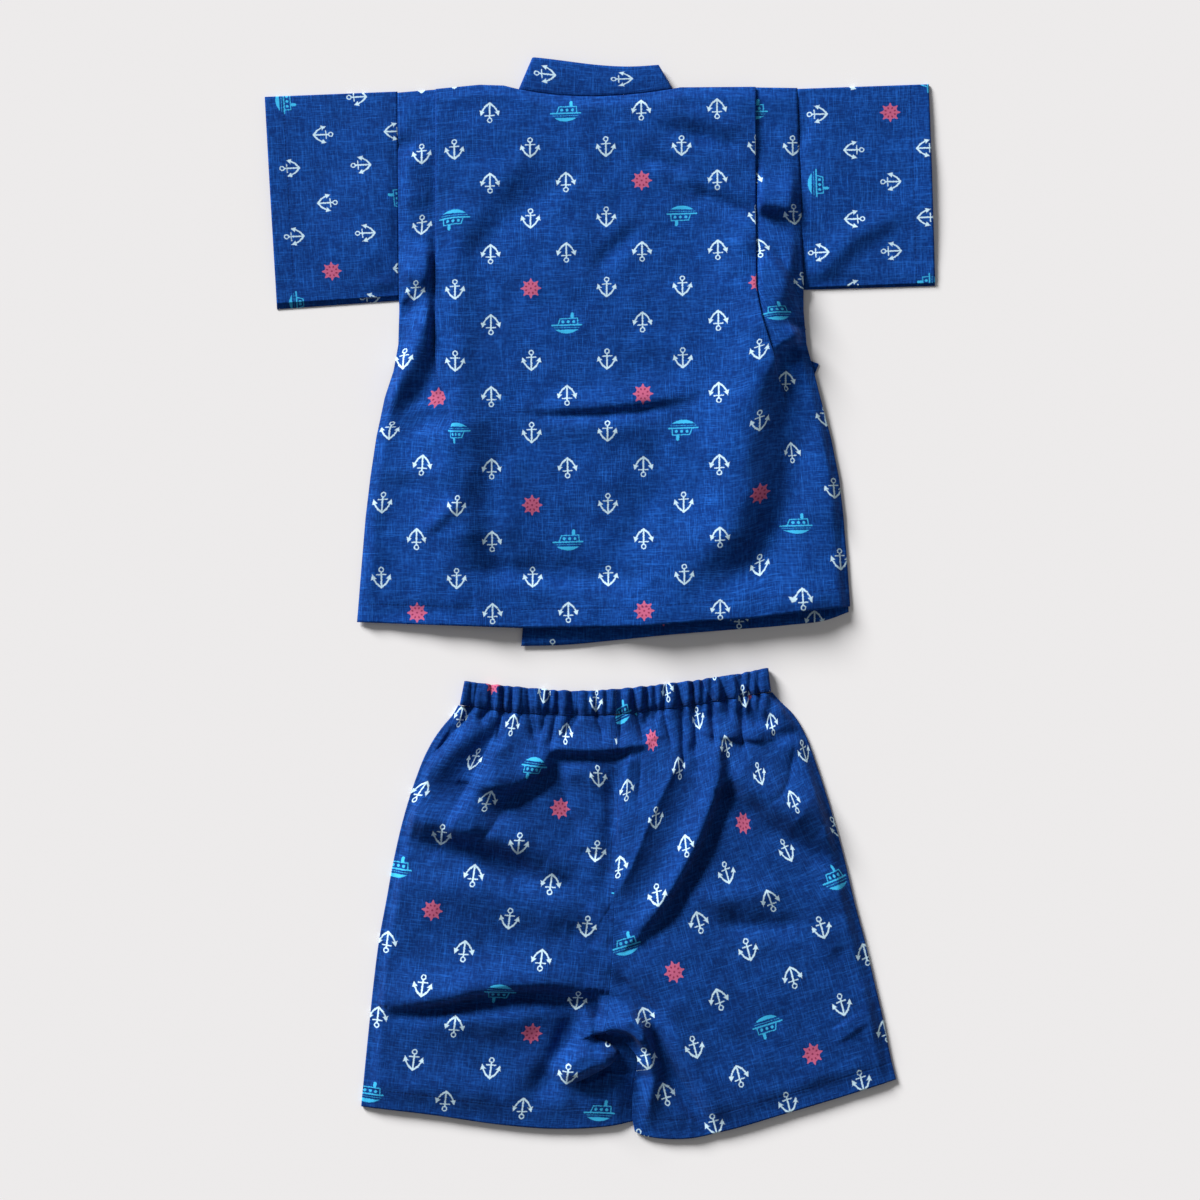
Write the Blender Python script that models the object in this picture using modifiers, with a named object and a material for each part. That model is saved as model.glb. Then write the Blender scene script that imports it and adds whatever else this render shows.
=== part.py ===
# A child's jinbei set laid flat on a table, back side up: jacket above, shorts below.
# Lengths in this file are millimetres; the meshes are made in metres, with Z up.
import math

import bmesh
import bpy
import numpy as np

MM = 0.001
GAP = 0.3               # clearance between pieces that a seam would join

WALL = 1.0              # cotton cloth with its turnings, as one plain wall
BAND_WALL = 1.6         # collar band, two plies
CASING_WALL = 1.8       # waistband, cloth round elastic

CLOTH_COLOUR = (0.010, 0.050, 0.230, 1.0)
CLOTH_ROUGHNESS = 0.85

# Levels of the middle of each wall above the table
FLOOR_Z = WALL / 2                                   # left front, and every underside
LEFT_BAND_Z = BAND_WALL / 2
RIGHT_FRONT_Z = BAND_WALL + GAP + WALL / 2           # right front where it crosses the left one
RIGHT_BAND_Z = BAND_WALL + GAP + BAND_WALL / 2
SIDE_Z = WALL + GAP + WALL / 2                       # back panel beside the seams
TUCK_R = 0.8                                         # bend radius of a pressed fold
CENTRE_Z = SIDE_Z + 4 * TUCK_R                       # back panel between the two tucks

# Jacket back. Heights run up from the middle of the set, x from its centre line.
TUCK_DEPTH = 13.0
OPEN_STEP = 3.0                                      # width of each bend once it lies open
LEFT_TUCK_X, RIGHT_TUCK_X = -121.5, 117.0
SHUT_Y, SHALLOW_Y, OPEN_Y = 205.0, 178.0, 140.0      # the tucks end between these heights
BACK_SIDES = (
    # y, left x, right x
    (-24, -182.5, 188.0),
    (0, -180.5, 187.0),
    (30, -178.0, 185.0),
    (60, -175.5, 182.5),
    (90, -172.0, 179.0),
    (120, -167.5, 173.0),
    (150, -161.0, 165.0),
    (170, -154.5, 160.0),
    (190, -151.0, 154.5),
    (215, -150.4, 152.3),
    (235, -150.6, 152.2),
    (385, -151.8, 147.8),
)
BACK_HEM = (
    # x, y
    (-185, -18), (-60, -22.5), (30, -21), (75, -17.5), (112, -15.5), (150, -10.5), (190, -6),
)
BACK_TOP = (
    # x, y
    (-160, 378), (-122, 381), (-90, 384), (-66.5, 383.5), (-65, 376), (-60, 374.8), (-30, 374.3),
    (0, 374.8), (30, 376), (54, 377.3), (57.5, 378), (60, 382.5), (116, 382.5), (160, 382.0),
)
# Fronts and collar
NECK_LEFT, NECK_RIGHT = (-60.0, 376.0), (54.0, 378.5)
COLLAR_LEFT_TOP, COLLAR_RIGHT_TOP = (-47.5, 405.0), (42.5, 398.0)
BAND_RISE = 29.0                                     # width of the collar band
NECK_TURN_IN = 8.0                                   # how much less of it stands at the right of the neck
BAND_REACH = 75.0                                    # x where the left front and its band end
BAND_RUN = 190.0                                     # length of each front band past the neck
BAND_CUT = 32.0                                      # how far its end slants back, free edge first
LEFT_FRONT_HEM = ((75, -13), (0, -16.5), (-90, -16.5), (-180, -15))
RIGHT_FRONT_HEM = (
    # x, y
    (-59, -36), (-29, -35.3), (13, -31.5), (50, -27.8), (96, -24), (141, -20.3), (170, -16.5), (187, -10.5),
)

# Sleeves: x of the cuff at the fold and how far it leans out below, then the height of the top
# fold and of both lower edges, at the armhole and at the cuff
SLEEVES = {
    "left": {"side": -1, "cuff_x": -251.2, "cuff_lean": 9.0, "top": (378.5, 374.5),
             "back_low": (226.5, 220.5), "front_low": (223.0, 216.5)},
    "right": {"side": 1, "cuff_x": 246.5, "cuff_lean": 4.7, "top": (380.5, 384.0),
              "back_low": (232.5, 236.0), "front_low": (231.0, 234.0)},
}
SLEEVE_PUFF = 2.6

# Tie sewn into the right side seam, whose end shows beside the jacket
TIE_PATH = ((151.0, 204.0), (143.0, 192.0), (146.0, 180.0), (153.0, 175.5), (162.5, 171.5))
TIE_WIDTH = 8.5

# Shorts
SHORTS_OUTER_LEFT = (
    # x, y from the waist down
    (-104.8, -83.5), (-109.5, -88.5), (-115, -95), (-121, -103), (-129, -117), (-137, -137),
    (-146, -166), (-153, -196), (-158.5, -226), (-164, -256), (-168, -287), (-171.5, -320),
    (-174.5, -350), (-177.5, -381),
)
SHORTS_OUTER_RIGHT = (
    (127.8, -73.8), (134, -78), (143, -87), (153, -104), (160, -123), (166, -141), (174, -167),
    (182, -197), (189, -227), (197, -257), (204, -287), (211, -317), (217, -347), (220.5, -361),
)
SEAM = (
    # centre back seam from the waistband to the fork of the legs
    (11.5, -88), (13.5, -120), (13.5, -152), (11, -215), (9, -272), (6.5, -302), (5.5, -328),
)
LEFT_INSEAM = ((5.5, -338), (14, -358), (21.5, -378), (23.5, -391.5))
LEFT_INSEAM_UNDER = (
    # where the left leg's hidden layer meets the right leg
    (4.2, -318), (3.4, -330), (7.0, -341), (15.5, -349), (21, -359), (22.4, -373), (23.5, -391.5),
)
RIGHT_INSEAM = ((5.8, -333), (11, -338), (19, -345), (24, -356), (24.5, -372), (25, -390), (31.5, -402.5))
LEFT_HEM = (
    # x, y from the fork side outwards
    (23.5, -391.5), (10, -395), (-31, -397.5), (-73, -394.5), (-126, -387), (-177.5, -381),
)
RIGHT_HEM = (
    (31.5, -402.5), (42, -404.3), (63, -405), (94, -399), (136, -387), (178, -374.5), (220.5, -361),
)
WAIST_LOW = ((-103.5, -80), (-75, -84.5), (0, -87.5), (67.5, -80.5), (126.5, -70))
WAIST_TOP = ((-100, -62.3), (-75, -65), (0, -69), (31, -66), (70, -61.5), (106, -56), (124.5, -52.5))
GATHERS = 60                                         # waves all round the waistband
GATHER_RISE = 0.9
WAIST_FRONT_Z, WAIST_BACK_Z = 1.9, 6.4
LEG_BACK_Z = 3.0                                     # upper layer of the legs at their edges

# Folds: path points, height in mm, reach to the left of the path and to its right
JACKET_FOLDS = (
    ("plump middle", ((-20, 330), (0, 180), (0, 40)), 2.5, 95, 95),
    ("cross fold", ((-48, 137), (5, 139), (70, 147)), -2.4, 5, 5),
    ("below cross fold", ((-40, 122), (20, 124)), 2.2, 9, 9),
    ("left release", ((-122, 171), (-111, 148), (-94, 115), (-88, 60)), 4.0, 9, 12),
    ("left fall", ((-108, 72), (-130, 48)), 3.0, 8, 12),
    ("left lower dent", ((-88, 84), (-86, 58)), -2.5, 9, 9),
    ("right ridge", ((102, 206), (90, 186), (90, 148), (101, 126), (97, 58), (75, 43)), 5.0, 10, 13),
    ("right valley", ((148, 190), (128, 162), (124, 120), (106, 44), (76, 22)), -2.6, 16, 16),
    ("raised hem", ((100, -8), (150, -2), (186, 12)), 7.0, 26, 26),
    ("upper left slant", ((-30, 313), (-75, 276), (-98, 242)), -1.8, 9, 9),
    ("shoulder", ((-90, 340), (90, 345)), 1.2, 40, 40),
)
SHORTS_FOLDS = (
    ("fullness left", ((-90, -140), (-95, -250), (-95, -340)), 4.0, 60, 60),
    ("fullness right", ((90, -140), (110, -240), (115, -340)), 4.0, 60, 60),
    ("left border ridge", ((-98, -90), (-122, -112), (-130, -136)), 5.0, 9, 7),
    ("left long ridge", ((-64, -95), (-83, -110), (-94, -129), (-105, -152), (-116, -176)), 9.0, 9, 10),
    ("left deep valley", ((-38, -118), (-49, -133), (-68, -148), (-90, -144)), -5.0, 7, 9),
    ("waist cross crease", ((-35, -116), (0, -117), (30, -117)), -4.5, 5, 6),
    ("left mid dip", ((-146, -174), (-120, -183), (-90, -190), (-64, -208)), -4.0, 11, 13),
    ("left hip swell", ((-140, -228), (-90, -228), (-20, -236)), 3.0, 22, 18),
    ("middle seam dip", ((11, -129), (9, -190), (10, -249)), -3.0, 8, 8),
    ("right inner ridge", ((38, -114), (30, -152), (15, -189)), 6.0, 8, 7),
    ("right long ridge", ((82, -114), (75, -144), (64, -174), (52, -204), (12, -262)), 10, 9, 11),
    ("right long valley", ((92, -144), (82, -166), (71, -189), (60, -212), (34, -250)), -4, 7, 9),
    ("right side branch", ((92, -144), (128, -166), (161, -204)), -3.0, 9, 11),
    ("right waist swell", ((98, -120), (140, -140)), 4.0, 16, 16),
    ("left cross crease", ((-146, -316), (-120, -309), (-82, -301), (-52, -294), (-8, -300)), -4.5, 6, 7),
    ("below cross crease", ((-128, -322), (-78, -318), (-30, -318)), 4.0, 9, 14),
    ("left inner ridge", ((-15, -316), (-22, -339), (-28, -358)), 6.0, 7, 9),
    ("fork swell", ((5, -279), (8, -309), (30, -324), (36, -346), (33, -388)), 7.0, 9, 10),
    ("right inner crease", ((34, -316), (45, -346), (60, -369), (71, -392)), -3.5, 6, 6),
)
FORK_PIT = {"x": 13.0, "y": -346.0, "reach": 13.0}   # the cloth dives here between the legs


def along(points, share):
    # Smooth curve through the points, read at shares of its length from 0 to 1.
    # Cubic Hermite pieces whose tangents are the finite differences at the points.
    spots = np.asarray(points, float)
    steps = np.linalg.norm(np.diff(spots, axis=0), axis=1)
    reached = np.concatenate(([0.0], np.cumsum(steps)))
    tangents = np.gradient(spots, reached, axis=0)
    way = np.clip(np.asarray(share, float), 0, 1) * reached[-1]
    piece = np.clip(np.searchsorted(reached, way, side="right") - 1, 0, len(steps) - 1)
    size = steps[piece]
    f = ((way - reached[piece]) / size)[..., None]
    size = size[..., None]
    return (spots[piece] * (2 * f**3 - 3 * f**2 + 1)
            + tangents[piece] * size * (f**3 - 2 * f**2 + f)
            + spots[piece + 1] * (3 * f**2 - 2 * f**3)
            + tangents[piece + 1] * size * (f**3 - f**2))


def ease(value, start, end):
    # 0 before start and 1 after end, with a smooth S between
    f = np.clip((value - start) / (end - start), 0, 1)
    return f * f * (3 - 2 * f)


def patch(low, high, near, far, u, v):
    # Coons patch: the sheet between four edge curves that meet at its corners
    a, b = along(low, u), along(high, u)
    c, d = along(near, v), along(far, v)
    u, v = u[..., None], v[..., None]
    corners = ((1 - u) * (1 - v) * np.array(low[0], float) + u * (1 - v) * np.array(low[-1], float)
               + (1 - u) * v * np.array(high[0], float) + u * v * np.array(high[-1], float))
    return (1 - v) * a + v * b + (1 - u) * c + u * d - corners


def relief(x, y, folds):
    # Height of all folds: each is a bell across its path, fading at the path's two ends
    total = np.zeros_like(x)
    for _, points, height, left_reach, right_reach in folds:
        route = along(points, np.linspace(0, 1, 6 * len(points)))
        best = np.full(x.shape, 1e9)
        side = np.zeros_like(x)
        place = np.zeros_like(x)
        runs = np.linalg.norm(np.diff(route, axis=0), axis=1)
        passed = np.concatenate(([0.0], np.cumsum(runs)))
        for i, run in enumerate(runs):
            dx, dy = (route[i + 1] - route[i]) / run
            px, py = x - route[i, 0], y - route[i, 1]
            t = np.clip(px * dx + py * dy, 0, run)
            away = np.hypot(px - t * dx, py - t * dy)
            nearer = away < best
            best = np.where(nearer, away, best)
            side = np.where(nearer, dx * py - dy * px, side)
            place = np.where(nearer, (passed[i] + t) / passed[-1], place)
        reach = np.where(side > 0, left_reach, right_reach)
        fade = np.clip(np.minimum(place, 1 - place) * 5, 0, 1)
        total += height * np.exp(-(best / reach) ** 2) * (0.35 + 0.65 * fade)
    return total


def soft_floor(height):
    # Keeps folds from going below their layer, without a sharp corner
    return 0.5 * (height + np.sqrt(height**2 + 0.25))


def material(name):
    look = bpy.data.materials.new(name)
    look.use_nodes = True
    shader = look.node_tree.nodes["Principled BSDF"]
    shader.inputs["Base Color"].default_value = CLOTH_COLOUR
    shader.inputs["Roughness"].default_value = CLOTH_ROUGHNESS
    shader.inputs["Metallic"].default_value = 0.0
    look.diffuse_color = CLOTH_COLOUR
    return look


def cloth(name, across, down, shape, group, wall=WALL, ring=False):
    # A grid whose points go where shape(across, down) says, made solid by its wall
    bm = bmesh.new()
    bmesh.ops.create_grid(bm, x_segments=len(across) - 1, y_segments=len(down) - 1, size=1.0)
    spots = np.array([v.co[:2] for v in bm.verts])
    i = np.rint((spots[:, 0] + 1) / 2 * (len(across) - 1)).astype(int)
    j = np.rint((spots[:, 1] + 1) / 2 * (len(down) - 1)).astype(int)
    placed = shape(np.asarray(across)[i], np.asarray(down)[j]) * MM
    for vert, spot in zip(bm.verts, placed):
        vert.co = spot
    if ring:
        bmesh.ops.remove_doubles(bm, verts=bm.verts, dist=0.05 * MM)
    mesh = bpy.data.meshes.new(name)
    bm.to_mesh(mesh)
    bm.free()
    mesh.materials.append(material(name + " cotton"))
    obj = bpy.data.objects.new(name, mesh)
    group.objects.link(obj)
    solid = obj.modifiers.new("wall", "SOLIDIFY")
    solid.thickness = wall * MM
    solid.offset = 0.0
    return obj


def column(table, y, which):
    # One column of a table whose first column is y, read between its rows
    rows = np.array(table, float)
    return np.interp(y, rows[:, 0], rows[:, which])


def tucked(q, y, edge):
    # One tuck and its strip: q 0-1 goes round the first bend, 1-2 back under, 2-3 round the second
    # bend and 3-4 out over the strip, to edge. Gives how far out each spot lies and how far down.
    # Lower down the cloth it first grows shallow and then its bends open flat.
    angle = math.pi * ease(y, OPEN_Y, SHALLOW_Y)
    depth = OPEN_STEP + (TUCK_DEPTH - OPEN_STEP) * ease(y, SHALLOW_Y - 6, SHUT_Y)
    spread = OPEN_STEP * (1 - angle / math.pi)
    first = np.clip(q, 0, 1) * angle
    under = np.clip(q - 1, 0, 1) * depth
    last = angle - np.clip(q - 2, 0, 1) * angle
    strip = np.clip(q - 3, 0, 1)
    out = TUCK_R * (np.sin(first) + (np.sin(angle) - np.sin(last)) * (q > 2)) + np.cos(angle) * under
    out = out + spread * (np.clip(q, 0, 1) + np.clip(q - 2, 0, 1))
    drop = TUCK_R * (1 - np.cos(first) + (np.cos(last) - np.cos(angle)) * (q > 2)) + np.sin(angle) * under
    stepped = 2 * TUCK_R * (1 - np.cos(angle)) + depth * np.sin(angle)
    rest = (4 * TUCK_R - stepped) * ease(strip, 0, 1)
    end = 2 * TUCK_R * np.sin(angle) + depth * np.cos(angle) + 2 * spread
    return out + strip * (edge - end), drop + rest


def jacket_back(group):
    middle = sorted(list(np.linspace(LEFT_TUCK_X, RIGHT_TUCK_X, 20)) + [-66.5, -65.0, 57.5, 60.0])
    tuck = [0.25, 0.5, 0.75, 1, 1.5, 2, 2.25, 2.5, 2.75, 3, 3.2, 3.4, 3.6, 3.8, 4]
    across = [LEFT_TUCK_X - q for q in reversed(tuck)] + middle + [RIGHT_TUCK_X + q for q in tuck]

    def shape(c, v):
        left_q = np.clip(LEFT_TUCK_X - c, 0, None)
        right_q = np.clip(c - RIGHT_TUCK_X, 0, None)
        flat = np.clip(c, LEFT_TUCK_X, RIGHT_TUCK_X)
        x = flat
        for _ in range(3):              # a row's height depends on x, and x on the row's height
            low = column(BACK_HEM, x, 1)
            y = low + v * (column(BACK_TOP, x, 1) - low)
            left_out, left_drop = tucked(left_q, y, LEFT_TUCK_X - column(BACK_SIDES, y, 1))
            right_out, right_drop = tucked(right_q, y, column(BACK_SIDES, y, 2) - RIGHT_TUCK_X)
            x = flat - left_out + right_out
        lifted = soft_floor(relief(x, y, JACKET_FOLDS)) + 1.4 * tie_lift(x, y)
        return np.stack((x, y, CENTRE_Z - left_drop - right_drop + lifted), -1)

    return cloth("jacket_back", across, list(np.linspace(0, 1, 22)), shape, group)


def tie_lift(x, y):
    # the cloth over the hidden part of the tie lies one wall higher
    return (WALL + GAP) * ease(x, 100, 132) * ease(y, 112, 152) * (1 - ease(y, 220, 260))


def left_front_level(x, y):
    return np.full_like(x, FLOOR_Z)


def right_front_level(x, y):
    # over the left front and its band, then down to the table
    step = RIGHT_FRONT_Z - FLOOR_Z
    return FLOOR_Z + step * (1 - ease(x, BAND_REACH + 2, BAND_REACH + 18)) + tie_lift(x, y)


def turn_over(spot, level, start, end, low_level, keep):
    # Folds a flat sheet about the line from start to end, down to low_level. The part of it
    # that keep lies on stays where it is.
    start, end, keep = np.array(start), np.array(end), np.array(keep)
    line = (end - start) / np.linalg.norm(end - start)
    normal = np.array((-line[1], line[0]))
    normal = -normal if np.dot(keep - start, normal) > 0 else normal
    radius = (level - low_level) / 2
    q = (spot - start) @ normal
    turn = math.pi * radius
    angle = np.clip(q, 0, turn) / radius
    out = np.where(q < 0, q, radius * np.sin(angle) - np.clip(q - turn, 0, None))
    z = level - radius * (1 - np.cos(angle))
    return spot + (out - q)[:, None] * normal, z


def collar_spot(x, v):
    # The collar is one straight strip: x runs along it and v from its seam to its free edge.
    # Beyond each end of the neck it is folded under and becomes a front band.
    level = CENTRE_Z + (BAND_WALL - WALL) / 2
    tilt = (NECK_RIGHT[1] - NECK_LEFT[1]) / (NECK_RIGHT[0] - NECK_LEFT[0])
    middle = (NECK_LEFT[0] + NECK_RIGHT[0]) / 2
    half = NECK_RIGHT[0] - middle
    bow = 2.0 * np.clip(1 - ((x - middle) / half) ** 2, 0, None)
    past = np.clip(np.abs(x - middle) - half - 10, 0, None) / (BAND_RUN - 10)
    x = x - np.sign(x - middle) * BAND_CUT * v * past
    seam = NECK_LEFT[1] + tilt * (x - NECK_LEFT[0]) - bow
    rise = BAND_RISE - NECK_TURN_IN * ease(x, -60, 30) * (1 - ease(x, 60, 100))
    spot = np.stack((x, seam + GAP + v * rise), -1)
    left, z_left = turn_over(spot, level, NECK_LEFT, COLLAR_LEFT_TOP, LEFT_BAND_Z, (0, 380))
    right, z_right = turn_over(spot, level, NECK_RIGHT, COLLAR_RIGHT_TOP, RIGHT_BAND_Z, (0, 380))
    on_left = x < middle
    flat = np.where(on_left[:, None], left, right)
    return np.concatenate((flat, np.where(on_left, z_left, z_right)[:, None]), 1)


def collar(group):
    turns = [(NECK_LEFT[0] - 12 + 2.0 * i) for i in range(14)]
    back = [NECK_LEFT[0] + 26, -15, 0, 15, 28]
    ends = [NECK_RIGHT[0] - 20 + 2.0 * i for i in range(14)]
    stops = ([NECK_LEFT[0] - BAND_RUN, NECK_LEFT[0] - 60] + turns + back + ends
             + [NECK_RIGHT[0] + 60, NECK_RIGHT[0] + BAND_RUN])
    return cloth("collar", stops, [0, 0.33, 0.67, 1], collar_spot, group, wall=BAND_WALL)


def jacket_front(group, name, side, hem, level):
    # side: +1 for the left front, which crosses to the right, -1 for the right front.
    # Its slanted edge follows the seam edge of its collar band, one gap away.
    neck_x = NECK_LEFT[0] if side > 0 else NECK_RIGHT[0]
    turn = 14.0 if side > 0 else 8.0
    along_band = neck_x - side * np.linspace(BAND_RUN, turn, 6)
    band = collar_spot(along_band, np.zeros(6))[:, :2]
    ahead = (band[-1] - band[0]) / np.linalg.norm(band[-1] - band[0])
    off = np.array((ahead[1], -ahead[0])) * -side * 2 * GAP
    band = [tuple(p) for p in band + off]
    column_side = 1 if side > 0 else 2
    heights = np.linspace(hem[-1][1], 379, 9)
    outer = [(float(column(BACK_SIDES, y, column_side)) + side, float(y)) for y in heights]
    low = tuple(hem[:-1]) + (outer[0],)
    middle_edge = ((low[0][0] + band[0][0]) / 2, (low[0][1] + band[0][1]) / 2)
    inner = [low[0], middle_edge] + band
    high = (band[-1], ((outer[-1][0] + band[-1][0]) / 2, 381.0), outer[-1])

    def shape(u, v):
        spot = patch(low, high, inner, outer, u, v)
        return np.concatenate((spot, level(spot[:, 0], spot[:, 1])[:, None]), 1)

    return cloth(name, list(np.linspace(0, 1, 14)), list(np.linspace(0, 1, 15)), shape, group)


def wrap_columns(top, bottom):
    # 0 to 1 is the upper layer, 1 to 2 the bend, 2 to 3 the lower layer
    return list(np.linspace(0, 1, top) ** 1.25) + [1.2, 1.4, 1.6, 1.8] + list(np.linspace(2, 3, bottom))


def wrapped(w, edge_level):
    # Share of the way to the fold, height share and outward bulge, for one cloth laid double
    radius = (edge_level - FLOOR_Z) / 2
    share = np.where(w < 1, w, np.where(w > 2, 3 - w, 1.0))
    angle = math.pi * np.clip(w - 1, 0, 1)
    return share, radius * np.sin(angle), edge_level - radius * (1 - np.cos(angle))


def sleeve(group, name, cut):
    side, x_out, (top_in, top_out) = cut["side"], cut["cuff_x"], cut["top"]
    edge = SIDE_Z + 0.4

    def shape(w, v):
        share, bulge, z = wrapped(w, edge)
        upper = w < 1.5
        low_in = np.where(upper, cut["back_low"][0], cut["front_low"][0])
        low_out = np.where(upper, cut["back_low"][1], cut["front_low"][1])
        low = low_in + v * (low_out - low_in)
        top = top_in + v * (top_out - top_in)
        y = low + share * (top - low) + bulge
        x_in = column(BACK_SIDES, y, 1 if side < 0 else 2) + side * 2 * GAP
        x = x_in + v * (x_out + cut["cuff_lean"] * (1 - share) - x_in)
        puff = SLEEVE_PUFF * np.sin(math.pi * share) * (0.55 + 0.45 * np.cos(6 * v - 1))
        settle = (SIDE_Z - edge) * ease(0.06 - share, 0, 0.06)
        return np.stack((x, y, z + (puff + settle) * (w < 1)), -1)

    return cloth(name, wrap_columns(12, 4), list(np.linspace(0, 1, 11)), shape, group)


def leg(group, name, side, outer, inseam, inseam_under, hem):
    # side: -1 left, +1 right. The inner edge is the centre seam and then the inseam, which on
    # the left leg runs further in under than it does on top.
    seam = along(SEAM, np.linspace(0, 1, 14)) + (GAP * side, 0)
    band = along(WAIST_LOW, np.linspace(0, 1, 15)) - (0, 2 * GAP)
    band = sorted((tuple(p) for p in band), key=lambda p: side * p[0])
    first, last = side * seam[0][0] + 6, side * outer[0][0] - 5
    waist = [tuple(seam[0])] + [p for p in band if first < side * p[0] < last] + [outer[0]]
    inner = [tuple(p) for p in seam] + list(inseam)
    inner_under = [tuple(p) for p in seam[:-2]] + list(inseam_under) if inseam_under else inner

    def shape(w, v):
        share, bulge, z = wrapped(w, LEG_BACK_Z)
        spot = np.where((w < 1.5)[:, None], patch(waist, hem, inner, outer, share, v),
                        patch(waist, hem, inner_under, outer, share, v))
        edge = along(outer, np.clip(v + 0.04, 0, 1)) - along(outer, np.clip(v - 0.04, 0, 1))
        edge /= np.linalg.norm(edge, axis=1)[:, None]
        edge = np.array((0.0, -1.0)) + (edge - (0.0, -1.0)) * ease(v, 0, 0.14)[:, None]
        x, y = spot[:, 0] - side * edge[:, 1] * bulge, spot[:, 1] + side * edge[:, 0] * bulge
        near_edge = ease(share, 1.0, 0.9)
        near_hem = 0.3 + 0.7 * ease(v, 1.0, 0.93)
        pit = np.exp(-((x - FORK_PIT["x"]) ** 2 + (y - FORK_PIT["y"]) ** 2) / FORK_PIT["reach"] ** 2)
        below_fork = ease(y, -322, -345)
        inner_drop = ease(share, 0.10, 0.0) * below_fork
        lift = soft_floor(relief(x, y, SHORTS_FOLDS)) * near_edge * near_hem * (1 - 0.8 * pit)
        band = (WAIST_BACK_Z - LEG_BACK_Z) * ease(v, 0.12, 0.0) * near_edge
        low_lift = (WAIST_FRONT_Z - FLOOR_Z) * ease(v, 0.05, 0.0) * ease(share, 1.0, 0.85)
        top_z = z + (lift + band) * (1 - inner_drop) - (LEG_BACK_Z - SIDE_Z) * inner_drop
        return np.stack((x, y, np.where(w < 1, top_z, z + low_lift * ease(w, 1, 2))), -1)

    return cloth(name, wrap_columns(18, 4), list(np.linspace(0, 1, 22)), shape, group)


def waistband(group):
    # A gathered ring laid flat: the back layer on top, the front layer under it
    count = GATHERS * 5
    ends = 8                            # columns in each end's bend
    half = (count - 2 * ends) // 2

    def shape(c, v):
        top = c <= half
        first_bend = (c > half) & (c <= half + ends)
        bottom = (c > half + ends) & (c <= 2 * half + ends)
        share = np.select((top, bottom, first_bend), (c / half, (2 * half + ends - c) / half, 1.0), 0.0)
        turn = np.select((top | bottom, first_bend), (0.0, (c - half) / ends), (c - 2 * half - ends) / ends)
        radius = (WAIST_BACK_Z - WAIST_FRONT_Z) / 2
        centre = (WAIST_BACK_Z + WAIST_FRONT_Z) / 2
        out = radius * np.sin(math.pi * turn) * np.where(first_bend, 1, -1)
        swing = np.where(top, 1, np.where(bottom, -1, np.where(first_bend, 1, -1) * np.cos(math.pi * turn)))
        spot = along(WAIST_LOW, share) * (1 - v)[:, None] + along(WAIST_TOP, share) * v[:, None]
        calm = ease(np.minimum(share, 1 - share), 0, 0.03)
        wave = GATHER_RISE * calm * np.cos(2 * math.pi * c / 5 + 0.8 * np.sin(c * 0.21))
        z = centre + radius * swing + wave
        z = np.maximum(z, CASING_WALL / 2)
        return np.stack((spot[:, 0] + out, spot[:, 1], z), -1)

    return cloth("shorts_waistband", [float(c) for c in range(count + 1)], [0, 1], shape, group,
                 wall=CASING_WALL, ring=True)


def tie(group):
    def shape(t, s):
        spot = along(TIE_PATH, t)
        ahead = along(TIE_PATH, np.clip(t + 0.01, 0, 1)) - along(TIE_PATH, np.clip(t - 0.01, 0, 1))
        across = np.stack((-ahead[:, 1], ahead[:, 0]), -1) / np.linalg.norm(ahead, axis=1)[:, None]
        flat = spot + across * ((s - 0.5) * TIE_WIDTH)[:, None]
        return np.concatenate((flat, np.full((len(t), 1), FLOOR_Z)), 1)

    return cloth("tie", list(np.linspace(0, 1, 13)), [0, 0.5, 1], shape, group)


def build():
    for obj in list(bpy.data.objects):
        bpy.data.objects.remove(obj, do_unlink=True)
    group = bpy.data.collections.new("Jinbei set")
    bpy.context.scene.collection.children.link(group)

    jacket_back(group)
    jacket_front(group, "jacket_front_left", 1, LEFT_FRONT_HEM, left_front_level)
    jacket_front(group, "jacket_front_right", -1, RIGHT_FRONT_HEM, right_front_level)
    for side, cut in SLEEVES.items():
        sleeve(group, "sleeve_" + side, cut)
    collar(group)
    tie(group)
    leg(group, "shorts_leg_left", -1, SHORTS_OUTER_LEFT, LEFT_INSEAM, LEFT_INSEAM_UNDER, LEFT_HEM)
    leg(group, "shorts_leg_right", 1, SHORTS_OUTER_RIGHT, RIGHT_INSEAM, None, RIGHT_HEM)
    waistband(group)


build()
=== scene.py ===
import math

import bpy
import numpy as np
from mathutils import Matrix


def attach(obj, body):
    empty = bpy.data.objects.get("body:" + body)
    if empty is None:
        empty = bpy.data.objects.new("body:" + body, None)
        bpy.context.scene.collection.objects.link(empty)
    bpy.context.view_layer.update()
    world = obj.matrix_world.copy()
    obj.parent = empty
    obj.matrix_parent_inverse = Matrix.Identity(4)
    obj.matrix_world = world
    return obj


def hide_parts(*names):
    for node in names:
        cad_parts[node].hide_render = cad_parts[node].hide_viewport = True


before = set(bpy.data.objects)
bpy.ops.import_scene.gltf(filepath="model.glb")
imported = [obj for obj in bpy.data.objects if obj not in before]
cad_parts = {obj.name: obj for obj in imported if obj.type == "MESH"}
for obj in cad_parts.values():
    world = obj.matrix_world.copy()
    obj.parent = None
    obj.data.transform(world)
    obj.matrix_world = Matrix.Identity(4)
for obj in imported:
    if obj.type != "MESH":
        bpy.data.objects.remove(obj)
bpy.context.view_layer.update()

# A child's jinbei set laid flat, back side up: jacket above, shorts below.
# Lengths here are millimetres. They turn to metres where a mesh is made.
mm = 0.001
gap = 0.3               # air between two cloths
clothPly = 0.6          # slub cotton as it shows, one ply
unprinted = 900         # a hem distance this long marks cloth too deep in a fold to show print

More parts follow.
